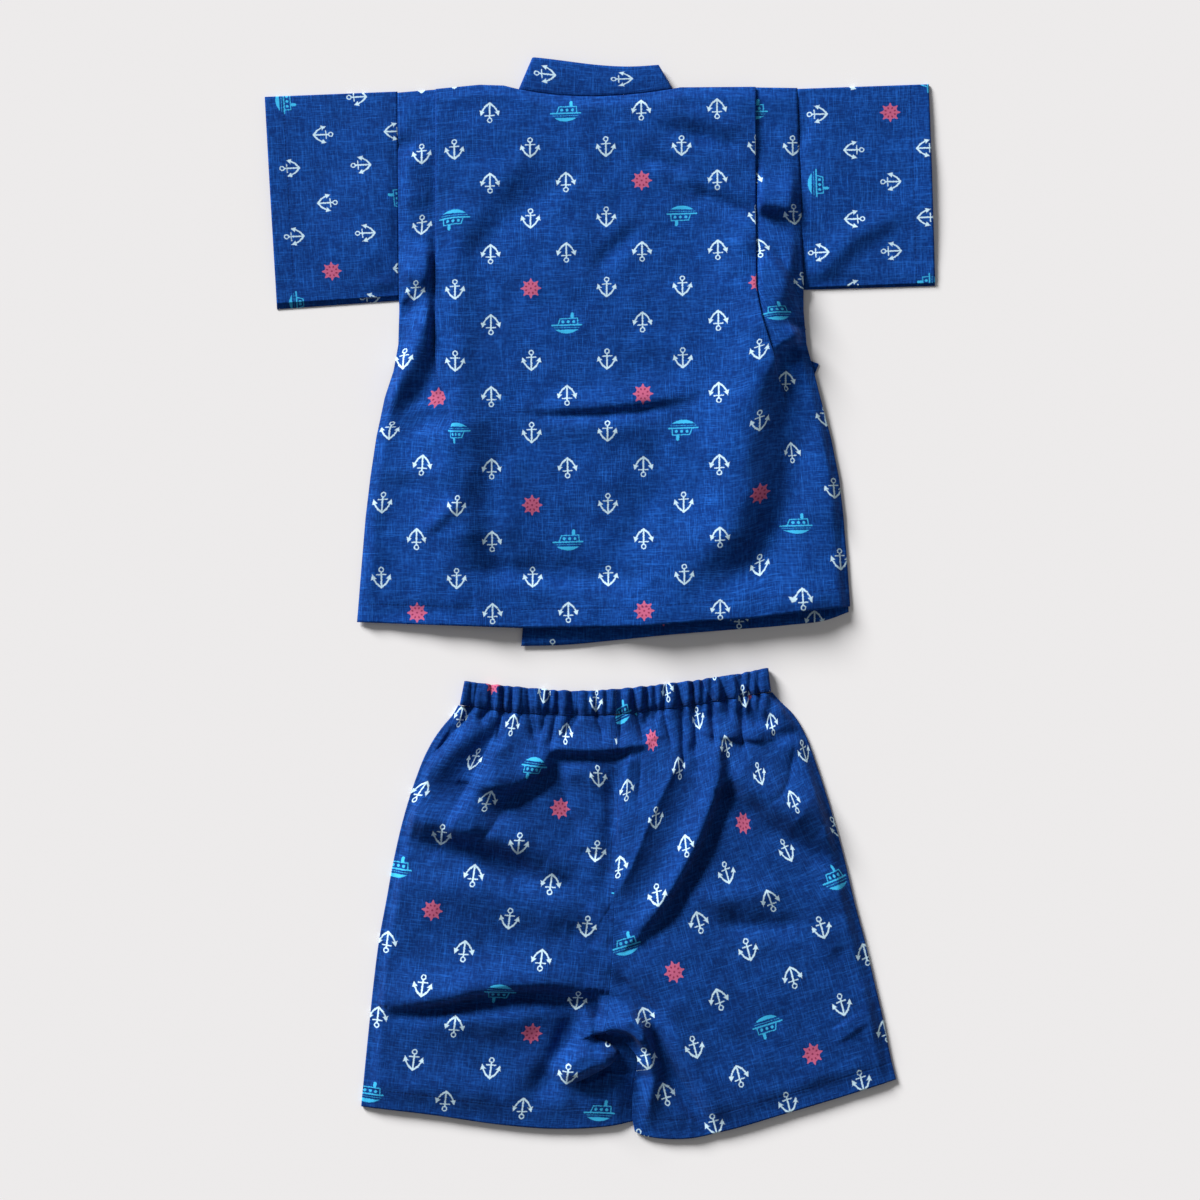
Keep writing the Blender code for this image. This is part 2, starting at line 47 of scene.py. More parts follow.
# Height of the middle of each cloth
floorZ = 0.5
leftBandZ = 0.8
rightFrontZ = 2.4
rightBandZ = 2.7
sideZ = 1.8
tuckRadius = 0.8        # of the two bends of a tuck
centreZ = sideZ + 4 * tuckRadius


def along(points, share):
    # Smooth curve through the points at shares of its length: cubic Hermite pieces whose
    # tangents are the finite differences at the points
    spots = np.asarray(points, float)
    steps = np.linalg.norm(np.diff(spots, axis=0), axis=1)
    reached = np.concatenate(([0], np.cumsum(steps)))
    tangents = np.gradient(spots, reached, axis=0)
    way = np.clip(np.asarray(share, float), 0, 1) * reached[-1]
    piece = np.clip(np.searchsorted(reached, way, side="right") - 1, 0, len(steps) - 1)
    f = ((way - reached[piece]) / steps[piece])[..., None]
    size = steps[piece][..., None]
    return (spots[piece] * (2 * f**3 - 3 * f**2 + 1) + tangents[piece] * size * (f**3 - 2 * f**2 + f)
            + spots[piece + 1] * (3 * f**2 - 2 * f**3) + tangents[piece + 1] * size * (f**3 - f**2))


def ease(value, start, end):
    # 0 before start and 1 after end, with a smooth S between
    f = np.clip((value - start) / (end - start), 0, 1)
    return f * f * (3 - 2 * f)


def patch(low, high, near, far, u, v):
    # Coons patch: the sheet between four edge curves that meet at its corners
    a, b, c, d = along(low, u), along(high, u), along(near, v), along(far, v)
    u, v = u[..., None], v[..., None]
    corners = ((1 - u) * (1 - v) * np.array(low[0], float) + u * (1 - v) * np.array(low[-1], float)
               + (1 - u) * v * np.array(high[0], float) + u * v * np.array(high[-1], float))
    return (1 - v) * a + v * b + (1 - u) * c + u * d - corners


def creases(x, y, rows, sharpness=2):
    # Sum of folds. Each is height * exp(-(distance / reach)^sharpness) across its path: a round
    # bell at 2, a pressed crease with an edge at 1. It fades at the path's two ends. The reach
    # differs on the path's left and right.
    total = np.zeros_like(x)
    for _, height, leftReach, rightReach, *path in rows:
        route = along(np.reshape(path, (-1, 2)), np.linspace(0, 1, 3 * len(path)))
        best = np.full(x.shape, 1e9)
        side = np.zeros_like(x)
        place = np.zeros_like(x)
        runs = np.linalg.norm(np.diff(route, axis=0), axis=1)
        passed = np.concatenate(([0], np.cumsum(runs)))
        for i, run in enumerate(runs):
            dx, dy = (route[i + 1] - route[i]) / run
            px, py = x - route[i, 0], y - route[i, 1]
            t = np.clip(px * dx + py * dy, 0, run)
            away = np.hypot(px - t * dx, py - t * dy)
            nearer = away < best
            best = np.where(nearer, away, best)
            side = np.where(nearer, dx * py - dy * px, side)
            place = np.where(nearer, (passed[i] + t) / passed[-1], place)
        reach = np.where(side > 0, leftReach, rightReach)
        fade = np.clip(np.minimum(place, 1 - place) * 5, 0, 1)
        total += height * np.exp(-(best / reach) ** sharpness) * (0.35 + 0.65 * fade)
    return total


def inside(x, y, corners, soft):
    # 1 within a closed outline and 0 beyond it; at the edge it goes over within that length.
    # Signed distance: nearest of the outline's straight sides, even-odd rule for its sign
    spots = np.array(corners, float)
    away = np.full(x.shape, 1e9)
    within = np.zeros(x.shape, bool)
    for (ax, ay), (bx, by) in zip(spots, np.roll(spots, -1, axis=0)):
        t = np.clip(((x - ax) * (bx - ax) + (y - ay) * (by - ay)) / ((bx - ax)**2 + (by - ay)**2), 0, 1)
        away = np.minimum(away, np.hypot(x - ax - t * (bx - ax), y - ay - t * (by - ay)))
        rise = by - ay if by != ay else 1e-9
        within ^= ((ay > y) != (by > y)) & (x < ax + (bx - ax) * (y - ay) / rise)
    return ease(np.where(within, away, -away), -soft / 2, soft / 2)


def ripples(x, y, seed, size):
    # Slight unevenness of handled cotton: seven sine waves of about that length, in mixed directions
    chance = np.random.default_rng(seed)
    total = np.zeros_like(x)
    for turn, stretch, start in zip(chance.uniform(0, math.pi, 7), chance.uniform(0.6, 1.7, 7),
                                    chance.uniform(0, 6.28, 7)):
        total += np.sin((x * math.cos(turn) + y * math.sin(turn)) * 2 * math.pi / (size * stretch) + start)
    return total / 7


def softFloor(height):
    # Keeps dips from going through the layer below, without a sharp corner
    return 0.5 * (height + np.sqrt(height**2 + 0.25))


def column(rows, at, which=1):
    # A column of a table, read off with straight lines between the rows
    table = np.array(rows, float)
    return np.interp(at, table[:, 0], table[:, which])


def printPlace(lay, x, y):
    # Where the spot lies on the flat printed cloth: two sloping straight scales
    ax, ay, a0 = lay["across"]
    ux, uy, u0 = lay["up"]
    return ax * x + ay * y + a0, ux * x + uy * y + u0


def makeCloth(name, node, slot, across, down, shape, ply=clothPly, ring=False):
    # A grid whose points go where shape(across, down) says: x, y, z, the two places on the flat
    # printed cloth and the distance to the stitched hem. It stands for that node of the CAD.
    # across and down are the grid's stops, or how many even ones from 0 to 1.
    across, down = (np.linspace(0, 1, stops) if isinstance(stops, int) else np.asarray(stops, float)
                    for stops in (across, down))
    a, d = np.meshgrid(across, down)
    x, y, z, cutX, cutY, hem = shape(a.ravel(), d.ravel())
    spot, flat = np.stack((x, y, z), -1), np.stack((cutX, cutY), -1)
    columns, rows = len(across), len(down)
    ids = np.arange(rows * columns).reshape(rows, columns)
    faces = np.stack((ids[:-1, :-1], ids[:-1, 1:], ids[1:, 1:], ids[1:, :-1]), -1).reshape(-1, 4)
    joined = ids.copy()
    if ring:
        joined[:, -1] = joined[:, 0]
    solidFaces = joined.ravel()[faces]
    used, packed = np.unique(solidFaces, return_inverse=True)
    mesh = bpy.data.meshes.new(name)
    mesh.from_pydata((spot[used] * mm).tolist(), [], packed.reshape(-1, 4).tolist())
    uv = mesh.uv_layers.new(name="cut")
    uv.data.foreach_set("uv", (flat[faces.ravel()] * mm).astype(np.float32).ravel())
    edge = mesh.attributes.new("hemDistance", "FLOAT", "POINT")
    edge.data.foreach_set("value", np.asarray(hem, np.float32)[used])
    mesh.polygons.foreach_set("use_smooth", np.ones(len(faces), bool))
    mesh.materials.append(cottons[slot])
    obj = bpy.data.objects.new(name, mesh)
    bpy.context.scene.collection.objects.link(obj)
    wall = obj.modifiers.new("ply", "SOLIDIFY")
    wall.thickness = ply * mm
    wall.offset = 0
    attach(obj, "root")
    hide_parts(node)
    area = np.zeros(len(mesh.polygons), np.float32)
    mesh.polygons.foreach_get("area", area)
    print(name, round(float(area.sum()), 4), "square metres")
    return obj


def linear(hexColour):
    # sRGB hex to the linear colour that a shader takes
    parts = [int(hexColour[i:i + 2], 16) / 255 for i in (1, 3, 5)]
    return tuple(c / 12.92 if c <= 0.04045 else ((c + 0.055) / 1.055) ** 2.4 for c in parts) + (1,)


def add(tree, kind, *inputs, out=0, **settings):
    # Adds one node: kind is its type, or type and operation. Inputs are sockets or values, in the
    # order of the sockets in use. It gives an output in use, the first unless out says otherwise.
    kind, _, operation = kind.partition(" ")
    node = tree.nodes.new("ShaderNode" + kind)
    if operation:
        node.operation = operation
    for name, value in settings.items():
        setattr(node, name, value)
    for socket, value in zip([socket for socket in node.inputs if socket.enabled], inputs):
        if isinstance(value, bpy.types.NodeSocket):
            tree.links.new(value, socket)
        else:
            socket.default_value = value
    return [socket for socket in node.outputs if socket.enabled][out]


# Sizes of the printed motifs, from the middle of each
motifs = {
    "acrossPitch": 56.5, "upPitch": 54.4,       # between like rows and columns
    "halfAcross": 0.47, "halfUp": 0.51,         # where the turned rows lie between them
    "ringAt": 6, "ringRadius": 1.6, "ringLine": 0.5,
    "stockAt": 2.4, "stockReach": 3.4, "stockLine": 0.48,
    "armLine": 0.74, "shankLine": 0.66,
    "wheelRadius": 5.5, "wheelPeg": 2.3, "wheelRing": 3.7, "wheelHub": 0.7,
    "hullRadius": 13.8, "deckReach": 10.9, "window": 1.2,
    "edge": 0.28,                               # softness of the ink's edge
    "anchorInk": "#CDEBF8", "boatInk": "#3DB9EC", "wheelInk": "#C4607F", "wheelDark": "#8E3350",
}


def bar(tree, at, start, end, half):
    # Distance to a round-ended bar: the point less its nearest point on the line, less half its width
    run = (end[0] - start[0], end[1] - start[1], 0)
    size = run[0] ** 2 + run[1] ** 2
    off = add(tree, "VectorMath SUBTRACT", at, (start[0], start[1], 0))
    share = add(tree, "VectorMath DOT_PRODUCT", off, (run[0] / size, run[1] / size, 0))
    held = add(tree, "Clamp", share)
    near = add(tree, "VectorMath MULTIPLY_ADD", held, (-run[0], -run[1], 0), off)
    return add(tree, "Math SUBTRACT", add(tree, "VectorMath LENGTH", near), half)


def halfPlane(tree, at, start, end):
    # Signed distance to the line from start to end, negative on its left
    dx, dy = end[0] - start[0], end[1] - start[1]
    size = math.hypot(dx, dy)
    normal = (dy / size, -dx / size, 0)
    lean = add(tree, "VectorMath DOT_PRODUCT", at, normal)
    return add(tree, "Math SUBTRACT", lean, start[0] * normal[0] + start[1] * normal[1])


def nearest(tree, *fields):
    best = fields[0]
    for field in fields[1:]:
        best = add(tree, "Math MINIMUM", best, field)
    return best


def anchorShape(tree, at):
    # Ring, stock, shank and two curved arms with pointed flukes; the right half is mirrored
    m = motifs
    outward = add(tree, "SeparateXYZ", add(tree, "VectorMath ABSOLUTE", at))
    mirrored = add(tree, "CombineXYZ", outward, add(tree, "SeparateXYZ", at, out=1))
    ring = add(tree, "VectorMath DISTANCE", at, (0, m["ringAt"], 0))
    ring = add(tree, "Math SUBTRACT", ring, m["ringRadius"])
    ring = add(tree, "Math SUBTRACT", add(tree, "Math ABSOLUTE", ring), m["ringLine"])
    stock = bar(tree, at, (-m["stockReach"], m["stockAt"] - 0.1), (m["stockReach"], m["stockAt"] + 0.15),
                m["stockLine"])
    shank = bar(tree, at, (0, 3.9), (0, -6.3), m["shankLine"])
    lowArm = bar(tree, mirrored, (0, -7.1), (3.5, -4.3), m["armLine"])
    highArm = bar(tree, mirrored, (3.5, -4.3), (6, -0.4), m["armLine"] * 0.85)
    tip, foot, barb = (6.7, 2.7), (3.5, -0.5), (7.6, -1.7)
    sides = [halfPlane(tree, mirrored, *ends) for ends in ((tip, foot), (foot, barb), (barb, tip))]
    fluke = add(tree, "Math MAXIMUM", add(tree, "Math MAXIMUM", *sides[:2]), sides[2])
    return nearest(tree, ring, stock, shank, lowArm, highArm, fluke)


def boatShape(tree, at):
    # Deck line, round hull below it, a thin water line, a cabin outline with three windows, a funnel
    m = motifs
    deck = bar(tree, at, (-m["deckReach"], -1.7), (m["deckReach"], -1.4), 0.62)
    bilge = add(tree, "Math SUBTRACT", add(tree, "VectorMath DISTANCE", at, (0, 5.9, 0)), m["hullRadius"])
    hull = add(tree, "Math MAXIMUM", bilge, halfPlane(tree, at, (9, -4.9), (-9, -4.9)))
    line = bar(tree, at, (-9.6, -3.5), (9.6, -3.4), 0.2)
    roof = bar(tree, at, (-4.8, 3.3), (8.1, 3.6), 0.42)
    front = bar(tree, at, (-6.5, -1.4), (-4.8, 3.3), 0.45)
    back = bar(tree, at, (8.4, -1.4), (8.1, 3.6), 0.45)
    windows = nearest(tree, *(add(tree, "VectorMath DISTANCE", at, (x, 0.9, 0)) for x in (-2.8, 1.2, 5.2)))
    windows = add(tree, "Math SUBTRACT", windows, m["window"])
    funnel = bar(tree, at, (4.2, 6.7), (4.1, 4.6), 1.25)
    return nearest(tree, deck, hull, line, roof, front, back, windows, funnel)


def wheelShape(tree, at):
    # A disc with eight pegs: radius + peg * ((1 + cos 8a) / 2)^3
    m = motifs
    x = add(tree, "SeparateXYZ", at)
    turn = add(tree, "Math ARCTAN2", x.node.outputs[1], x)
    wave = add(tree, "Math COSINE", add(tree, "Math MULTIPLY", turn, 8))
    peg = add(tree, "Math POWER", add(tree, "Math MULTIPLY_ADD", wave, 0.5, 0.5), 3)
    away = add(tree, "VectorMath LENGTH", at)
    reach = add(tree, "Math MULTIPLY_ADD", peg, m["wheelPeg"], m["wheelRadius"])
    rim = add(tree, "Math SUBTRACT", away, reach)
    ring = add(tree, "Math ABSOLUTE", add(tree, "Math SUBTRACT", away, m["wheelRing"]))
    spots = add(tree, "Math MULTIPLY_ADD", wave, 0.9, ring)         # holes between the spokes
    hub = add(tree, "Math SUBTRACT", away, m["wheelHub"])
    return rim, add(tree, "Math MINIMUM", spots, hub)


def cell(tree, place, pitch, half):
    # Nearest motif along one direction: its number and how far the spot is from its middle
    number = add(tree, "Math MULTIPLY_ADD", place, 1 / pitch, -half)
    whole = add(tree, "Math ROUND", number)
    off = add(tree, "Math MULTIPLY", add(tree, "Math SUBTRACT", number, whole), pitch)
    return whole, off


def everyThird(tree, numbers, remainders):
    # 1 where the motif's column and row leave these remainders by three
    both = [add(tree, "Math COMPARE", add(tree, "Math FLOORED_MODULO", number, 3), remainder, 0.4)
            for number, remainder in zip(numbers, remainders)]
    return add(tree, "Math MULTIPLY", *both)


def shipPrint():
    # The printed repeat as one group: cut place in millimetres in, ink colour and cover out.
    # Upright and turned motifs alternate. In a repeat of three by three each kind of row has
    # one boat, one wheel and seven anchors.
    m = motifs
    tree = bpy.data.node_groups.new("ship print", "ShaderNodeTree")
    for name, way, kind in (("Cut", "INPUT", "Vector"), ("Wear", "INPUT", "Float"),
                            ("Ink", "OUTPUT", "Color"), ("Cover", "OUTPUT", "Float")):
        tree.interface.new_socket(name, in_out=way, socket_type="NodeSocket" + kind)
    source = tree.nodes.new("NodeGroupInput")
    x = add(tree, "SeparateXYZ", source.outputs[0])
    y = x.node.outputs[1]
    spots = []          # for upright and for turned motifs: place, 1 on a boat, 1 on a wheel
    for acrossStart, upStart, boats, wheels in ((0.0, 0.0, (0, 2), (1, 1)),
                                                (m["halfAcross"], m["halfUp"], (1, 0), (2, 2))):
        numberX, offX = cell(tree, x, m["acrossPitch"], acrossStart)
        numberY, offY = cell(tree, y, m["upPitch"], upStart)
        spots.append([add(tree, "CombineXYZ", offX, offY)]
                     + [everyThird(tree, (numberX, numberY), kind) for kind in (boats, wheels)])
    (upAt, upBoat, upWheel), (turnAt, turnBoat, turnWheel) = spots
    turned = add(tree, "Math GREATER_THAN", add(tree, "VectorMath LENGTH", upAt),
                 add(tree, "VectorMath LENGTH", turnAt))
    flipped = add(tree, "VectorMath SCALE", turnAt, -1)
    anchorAt = add(tree, "Mix", turned, upAt, flipped, data_type="VECTOR")
    boatAt = add(tree, "VectorMath SCALE", anchorAt, -1)
    boat = add(tree, "Mix", turned, upBoat, turnBoat)
    wheel = add(tree, "Mix", turned, upWheel, turnWheel)
    wheelField, wheelHoles = wheelShape(tree, anchorAt)
    field = add(tree, "Mix", boat, anchorShape(tree, anchorAt), boatShape(tree, boatAt))
    field = add(tree, "Mix", wheel, field, wheelField)
    field = add(tree, "Math ADD", field, source.outputs[1])
    cover = add(tree, "MapRange", field, m["edge"], -m["edge"], 0, 1, interpolation_type="SMOOTHSTEP")
    holes = add(tree, "MapRange", wheelHoles, 0.35, -0.25, 0, 1)
    redInk = add(tree, "Mix", holes, linear(m["wheelInk"]), linear(m["wheelDark"]), data_type="RGBA")
    ink = add(tree, "Mix", boat, linear(m["anchorInk"]), linear(m["boatInk"]), data_type="RGBA")
    ink = add(tree, "Mix", wheel, ink, redInk, data_type="RGBA")
    done = tree.nodes.new("NodeGroupOutput")
    tree.links.new(ink, done.inputs[0])
    tree.links.new(cover, done.inputs[1])
    return tree


# Slub cotton, plain woven from uneven yarn, reactive dyed navy blue and screen printed. To the
# eye it is matt, crossed by short paler and darker threads both ways, with specks worn
# out of the ink.
slubCotton = {
    "jacket": ("#00347D", "#1D62C0", "#001E58"),      # ground, pale slubs, deep threads
    # the shorts' colours are the jacket's made darker: painted shade for the dimmer light on the shorts
    "shorts": ("#002E70", "#1857AE", "#001A4D"),
    "threadPitch": 0.75,         # real 0.4, drawn as coarse as it needs to show
    "slubLength": 20, "grainLength": 5, "inkCover": 0.93, "relief": 0.12,
    "shader": {"Roughness": 0.85, "Specular IOR Level": 0.12, "Sheen Weight": 0.03, "Sheen Roughness": 0.5},
    "hemLine": 13.8, "stitch": 3,
}


def slubCottonMaterial(name, dyeAndShade):
    ground, paleYarn, deepYarn = map(linear, slubCotton[dyeAndShade])
    look = bpy.data.materials.new(name)
    look.use_nodes = True
    tree = look.node_tree
    cut = add(tree, "VectorMath SCALE", add(tree, "UVMap", uv_map="cut"), 1 / mm)
    # Each thread has its own number, floor(across / pitch). Noise along the thread, shifted by that
    # number, gives where it runs thick or thin; noise of both is summed over the two directions
    warp = add(tree, "SeparateXYZ", cut)
    weft = warp.node.outputs[1]
    threads = []
    for lengthwise, across, seed in ((warp, weft, 3.7), (weft, warp, 5.3)):
        number = add(tree, "Math FLOOR", add(tree, "Math DIVIDE", across, slubCotton["threadPitch"]))
        lane = add(tree, "Math MULTIPLY", number, seed)
        for length in (slubCotton["slubLength"], slubCotton["grainLength"]):
            place = add(tree, "CombineXYZ", add(tree, "Math DIVIDE", lengthwise, length), lane)
            threads.append(add(tree, "TexNoise", place, 1, 1, 0.5, noise_dimensions="2D"))
    slubA, grainA, slubB, grainB = threads
    slub = add(tree, "Math ADD", add(tree, "MapRange", slubA, 0.52, 0.78, 0, 1),
               add(tree, "MapRange", slubB, 0.54, 0.80, 0, 1))
    grain = add(tree, "Math ADD", grainA, grainB)
    pale = add(tree, "MapRange", grain, 0.95, 1.45, 0, 0.45)
    pale = add(tree, "Math ADD", pale, add(tree, "Math MULTIPLY", slub, 0.4), use_clamp=True)
    deep = add(tree, "MapRange", grain, 0.98, 0.62, 0, 0.4)
    colour = add(tree, "Mix", deep, ground, deepYarn, data_type="RGBA")
    colour = add(tree, "Mix", pale, colour, paleYarn, data_type="RGBA")
    # broad patches where the dye took less or more
    faded = add(tree, "MapRange", add(tree, "TexNoise", cut, 0.045, 2, 0.5), 0.3, 0.7, 0.90, 1.10)
    colour = add(tree, "Mix", 1, colour, faded, data_type="RGBA", blend_type="MULTIPLY")
    hem = add(tree, "Attribute", out=2, attribute_name="hemDistance")
    # ink worn off in specks, more of it over the deep threads
    worn = add(tree, "MapRange", add(tree, "TexNoise", cut, 0.9, 2, 0.6), 0.3, 0.75, -0.18, 0.42)
    worn = add(tree, "Math MULTIPLY_ADD", deep, 0.25, worn)
    ship = tree.nodes.new("ShaderNodeGroup")
    ship.node_tree = bpy.data.node_groups["ship print"]
    tree.links.new(cut, ship.inputs[0])
    tree.links.new(worn, ship.inputs[1])
    cover = add(tree, "MapRange", hem, unprinted / 2, unprinted / 2 + 100, slubCotton["inkCover"], 0)
    cover = add(tree, "Math MULTIPLY", ship.outputs[1], cover)
    colour = add(tree, "Mix", cover, colour, ship.outputs[0], data_type="RGBA")
    # lockstitch round the turned-up hem: a groove with a dash every few millimetres
    off = add(tree, "Math ABSOLUTE", add(tree, "Math SUBTRACT", hem, slubCotton["hemLine"]))
    groove = add(tree, "MapRange", off, 0.9, 0.2, 0, 1, interpolation_type="SMOOTHSTEP")
    beat = add(tree, "Math SINE", add(tree, "Math MULTIPLY", warp, 2 * math.pi / slubCotton["stitch"]))
    line = add(tree, "Math MULTIPLY", groove, add(tree, "MapRange", beat, -0.2, 0.3, 0.35, 1))
    colour = add(tree, "Mix", add(tree, "Math MULTIPLY", line, 0.45), colour, deepYarn, data_type="RGBA")
    height = add(tree, "Math MULTIPLY_ADD", line, -2, add(tree, "Math MULTIPLY_ADD", slub, 0.6, grain))
    bump = add(tree, "Bump", 0.5, slubCotton["relief"] * mm)
    tree.links.new(height, bump.node.inputs["Height"])
    shader = tree.nodes["Principled BSDF"]
    tree.links.new(bump, shader.inputs["Normal"])
    tree.links.new(colour, shader.inputs["Base Color"])
    for name, value in slubCotton["shader"].items():
        shader.inputs[name].default_value = value
    return look


shipPrint()
# the shorts' material has the darker colours, which carry painted shade
cottons = {part + "_cloth": slubCottonMaterial("printed slub cotton, " + part, part)
           for part in ("jacket", "shorts")}
print("materials made")

jacketBack = {
    "tuckX": (-121.5, 117), "tuckDepth": 13, "openStep": 3,
    # heights where each tuck is whole, grows shallow and lies open
    "leftEnd": (200, 146, 114), "rightEnd": (205, 178, 140),
    # where each tuck's line runs
    "leftLine": ((-20, -94), (70, -97), (115, -103), (135, -110), (146, -113), (157, -117),
                 (168, -120.8), (180, -122), (400, -122)),
    "rightLine": ((-20, 137), (110, 136), (150, 134), (166, 131), (181, 128.5), (195, 124),
                  (208, 120), (220, 117.5), (232, 115.5), (400, 115.5)),
    "sides": (
        (-24, -182.5, 188), (0, -180.5, 187), (30, -178, 185), (60, -175.5, 182.5),
        (90, -172, 179), (120, -167.5, 173), (150, -161, 165), (170, -154.5, 160),
        (190, -151, 154.5), (215, -150.4, 152.3), (235, -150.6, 152.2), (385, -151.8, 147.8),
    ),
    "hem": ((-185, -18), (-60, -22.5), (30, -21), (75, -17.5), (112, -15.5), (150, -10.5), (190, -6)),
    "top": (
        (-160, 378), (-122, 381), (-90, 384), (-72, 383.4), (-60, 380.4), (-45, 377.8), (-30, 376.1),
        (-15, 375.3), (0, 375.3), (15, 376), (30, 377.4), (42, 378.9), (54, 380.8), (60, 382),
        (116, 382.5), (160, 382),
    ),
    "print": {"across": (0.998, 0.0058, 106.7), "up": (-0.0175, 1.0075, -342.8)},
    # cloth taken up by each tuck and how much the print rises beyond it, by height
    "hiddenLeft": ((-20, 0), (42, 0), (71, 1), (98, 5), (126, 7), (148, 17), (179, 18), (230, 27), (278, 32)),
    "hiddenRight": ((-20, -6), (40, -3), (82, 1), (106, 2), (136, 7), (188, 6), (214, 14), (236, 23),
                    (262, 25.5), (286, 30)),
    "riseLeft": ((15, -1.6), (71, -3.9), (126, -4.5), (140, 0.6), (157, 0.6), (176, -3.4), (230, 0),
                 (278, 5.7), (332, 6.4)),
    "riseMiddle": ((231, 0), (261, 1.4), (285, 1.7), (312, 2.5), (337, 3.4), (366, 3.8)),
    "riseRight": ((-20, -5), (31, -10), (82, -8.5), (136, -9), (188, -7), (214, -6.5), (236, -1.4),
                  (286, 2.2), (338, 4.5)),
    # name, height, reach to the left of the path and to its right, x and y of each path point
    "folds": (
        ("plump middle", 2, 95, 95, -20, 330, 0, 180, 0, 40),
        ("shoulder", 1.2, 40, 40, -90, 340, 90, 345),
        ("cross step", 3.4, 12, 3.5, -46, 140, 0, 142.5, 37.5, 147, 68, 152),
        ("cross fold", -2, 3, 4, -44, 137, 5, 138.5, 50, 144),
        ("below cross fold", 2.4, 7, 10, -45, 126, 10, 128, 40, 131),
        ("panel left crest", 3.2, 12, 13, -107, 300, -106, 220, -106, 150, -109, 125),
        ("left release", 12, 36, 26, -120, 152, -112, 128, -105, 100, -101, 62, -96, 20),
        ("left lower dent", -4, 12, 13, -80, 118, -83, 84, -82, 30, -78, 5),
        ("left streak", 3.6, 5, 6, -106, 71, -118, 61, -131, 49),
        ("left release step", 2.8, 16, 9, -165, 96, -135, 94.5, -103.5, 93),
        ("left border swell", 3, 14, 8, -174, 100, -176, 50, -178, 0),
        ("right ridge", 14, 23, 27, 116, 255, 120, 223, 122, 194, 117, 167, 109, 141, 104, 111, 102, 74,
         92, 48, 74, 33, 54, 20),
        ("right valley", -4.5, 13, 13, 139, 186, 131, 163, 142, 133, 142, 88, 131, 55, 109, 25, 86, 10),
        ("right top step", 4, 5, 9, 154, 194, 141, 187, 131, 178, 124, 160),
        ("raised hem", 7.5, 26, 24, 0, -20, 70, -15, 130, -6, 188, 8),
        ("side bright", 3.2, 9, 13, 166, 134, 170, 90, 176, 50),
        ("right border fall", -4, 3, 5, 182, 56, 185, 28, 187, -4),
        ("upper left slant", -2.2, 11, 11, -30, 313, -75, 276, -98, 242),
        ("above left slant", 1.8, 12, 12, -45, 338, -84, 304, -108, 276),
        ("upper middle slant", -2, 7, 7, 28, 275, 11, 261, -4, 246),
        ("upper right slant", -2.4, 6, 8, 40, 352, 75, 345, 112, 334),
        ("above right slant", 1.8, 6, 7, 48, 366, 82, 358, 112, 350),
        ("upper right dent", -4.4, 6, 8, 70, 304, 92, 296, 112, 286),
        ("small middle dent", -1.8, 5, 5, 28, 328, 45, 326, 64, 321),
        ("right panel swell", 2.4, 9, 14, 104, 272, 106, 240),
        ("hem dip left", -2, 6, 8, -159, -10, -128, -10, -90, -11),
        ("hem dip middle", -3.2, 8, 9, -88, 21, -71, 20, -30, 16, -2, 14),
        ("middle low fall", -1.6, 13, 13, 45, 118, 38, 80, 20, 40),
        ("middle low dip", -2.6, 10, 9, -34, 25, -8, 18, 22, 14),
    ),
    # folds of the two strips outside the tucks alone
    "stripFolds": (
        ("left swell", 3, 12, 12, -139, 335, -138, 290),
        ("left bump", 9.5, 9, 20, -120, 257, -129, 245, -139, 232),
        ("left crest", 12, 22, 9, -125, 222, -130.5, 204, -137, 184, -146, 167, -156, 149, -165, 133),
        ("left wedge", -5.5, 8, 10, -122, 200, -124, 180, -130, 162, -150, 138),
        ("left armhole dent", -3.4, 5, 6, -151, 343, -140, 337),
        ("left armhole spot", -5, 5, 6, -149, 220, -140, 213),
        ("right upper puff", 10, 22, 5, 112, 294, 130, 293, 148, 290),
        ("right low puff", 9, 26, 26, 115, 238, 130, 240, 146, 238),
        ("right end ridge", 7, 10, 5, 122, 185, 134, 191, 150, 197),
        ("right slant", -3.6, 3, 4, 130, 262, 140, 246, 150, 222),
        ("right notch", -4.5, 3, 4, 143, 206, 152, 203),
        ("right end pit", -6.5, 6, 7, 121, 175, 133, 182, 150, 188),
    ),
    "base": 3.2, "highest": 17.5, "ripples": ((3, 30, 0.9), (4, 75, 1.6)),     # seed, length, height
}


def tucked(q, y, edge, ends):
    # One tuck and its strip: q 0-1 goes round the first bend, 1-2 back under, 2-3 round the second
    # bend and 3-4 out over the strip, to edge. Gives how far out each spot lies and how far down.
    # Lower down the cloth it first grows shallow and then its bends open flat.
    whole, shallow, opened = ends
    step = jacketBack["openStep"]
    angle = math.pi * ease(y, opened, shallow)
    depth = step + (jacketBack["tuckDepth"] - step) * ease(y, shallow - 6, whole)
    spread = step * (1 - angle / math.pi)
    first = np.clip(q, 0, 1) * angle
    under = np.clip(q - 1, 0, 1) * depth
    last = angle - np.clip(q - 2, 0, 1) * angle
    strip = np.clip(q - 3, 0, 1)
    out = tuckRadius * (np.sin(first) + (np.sin(angle) - np.sin(last)) * (q > 2)) + np.cos(angle) * under
    out = out + spread * (np.clip(q, 0, 1) + np.clip(q - 2, 0, 1))
    drop = tuckRadius * (1 - np.cos(first) + (np.cos(last) - np.cos(angle)) * (q > 2)) + np.sin(angle) * under
    stepped = 2 * tuckRadius * (1 - np.cos(angle)) + depth * np.sin(angle)
    rest = (4 * tuckRadius - stepped) * ease(strip, 0, 1)
    end = 2 * tuckRadius * np.sin(angle) + depth * np.cos(angle) + 2 * spread
    return out + strip * (edge - end), drop + rest


def tieLift(x, y):
    # The cloth over the hidden part of the tie lies higher
    return 1.3 * ease(x, 100, 132) * ease(y, 112, 152) * (1 - ease(y, 220, 260))


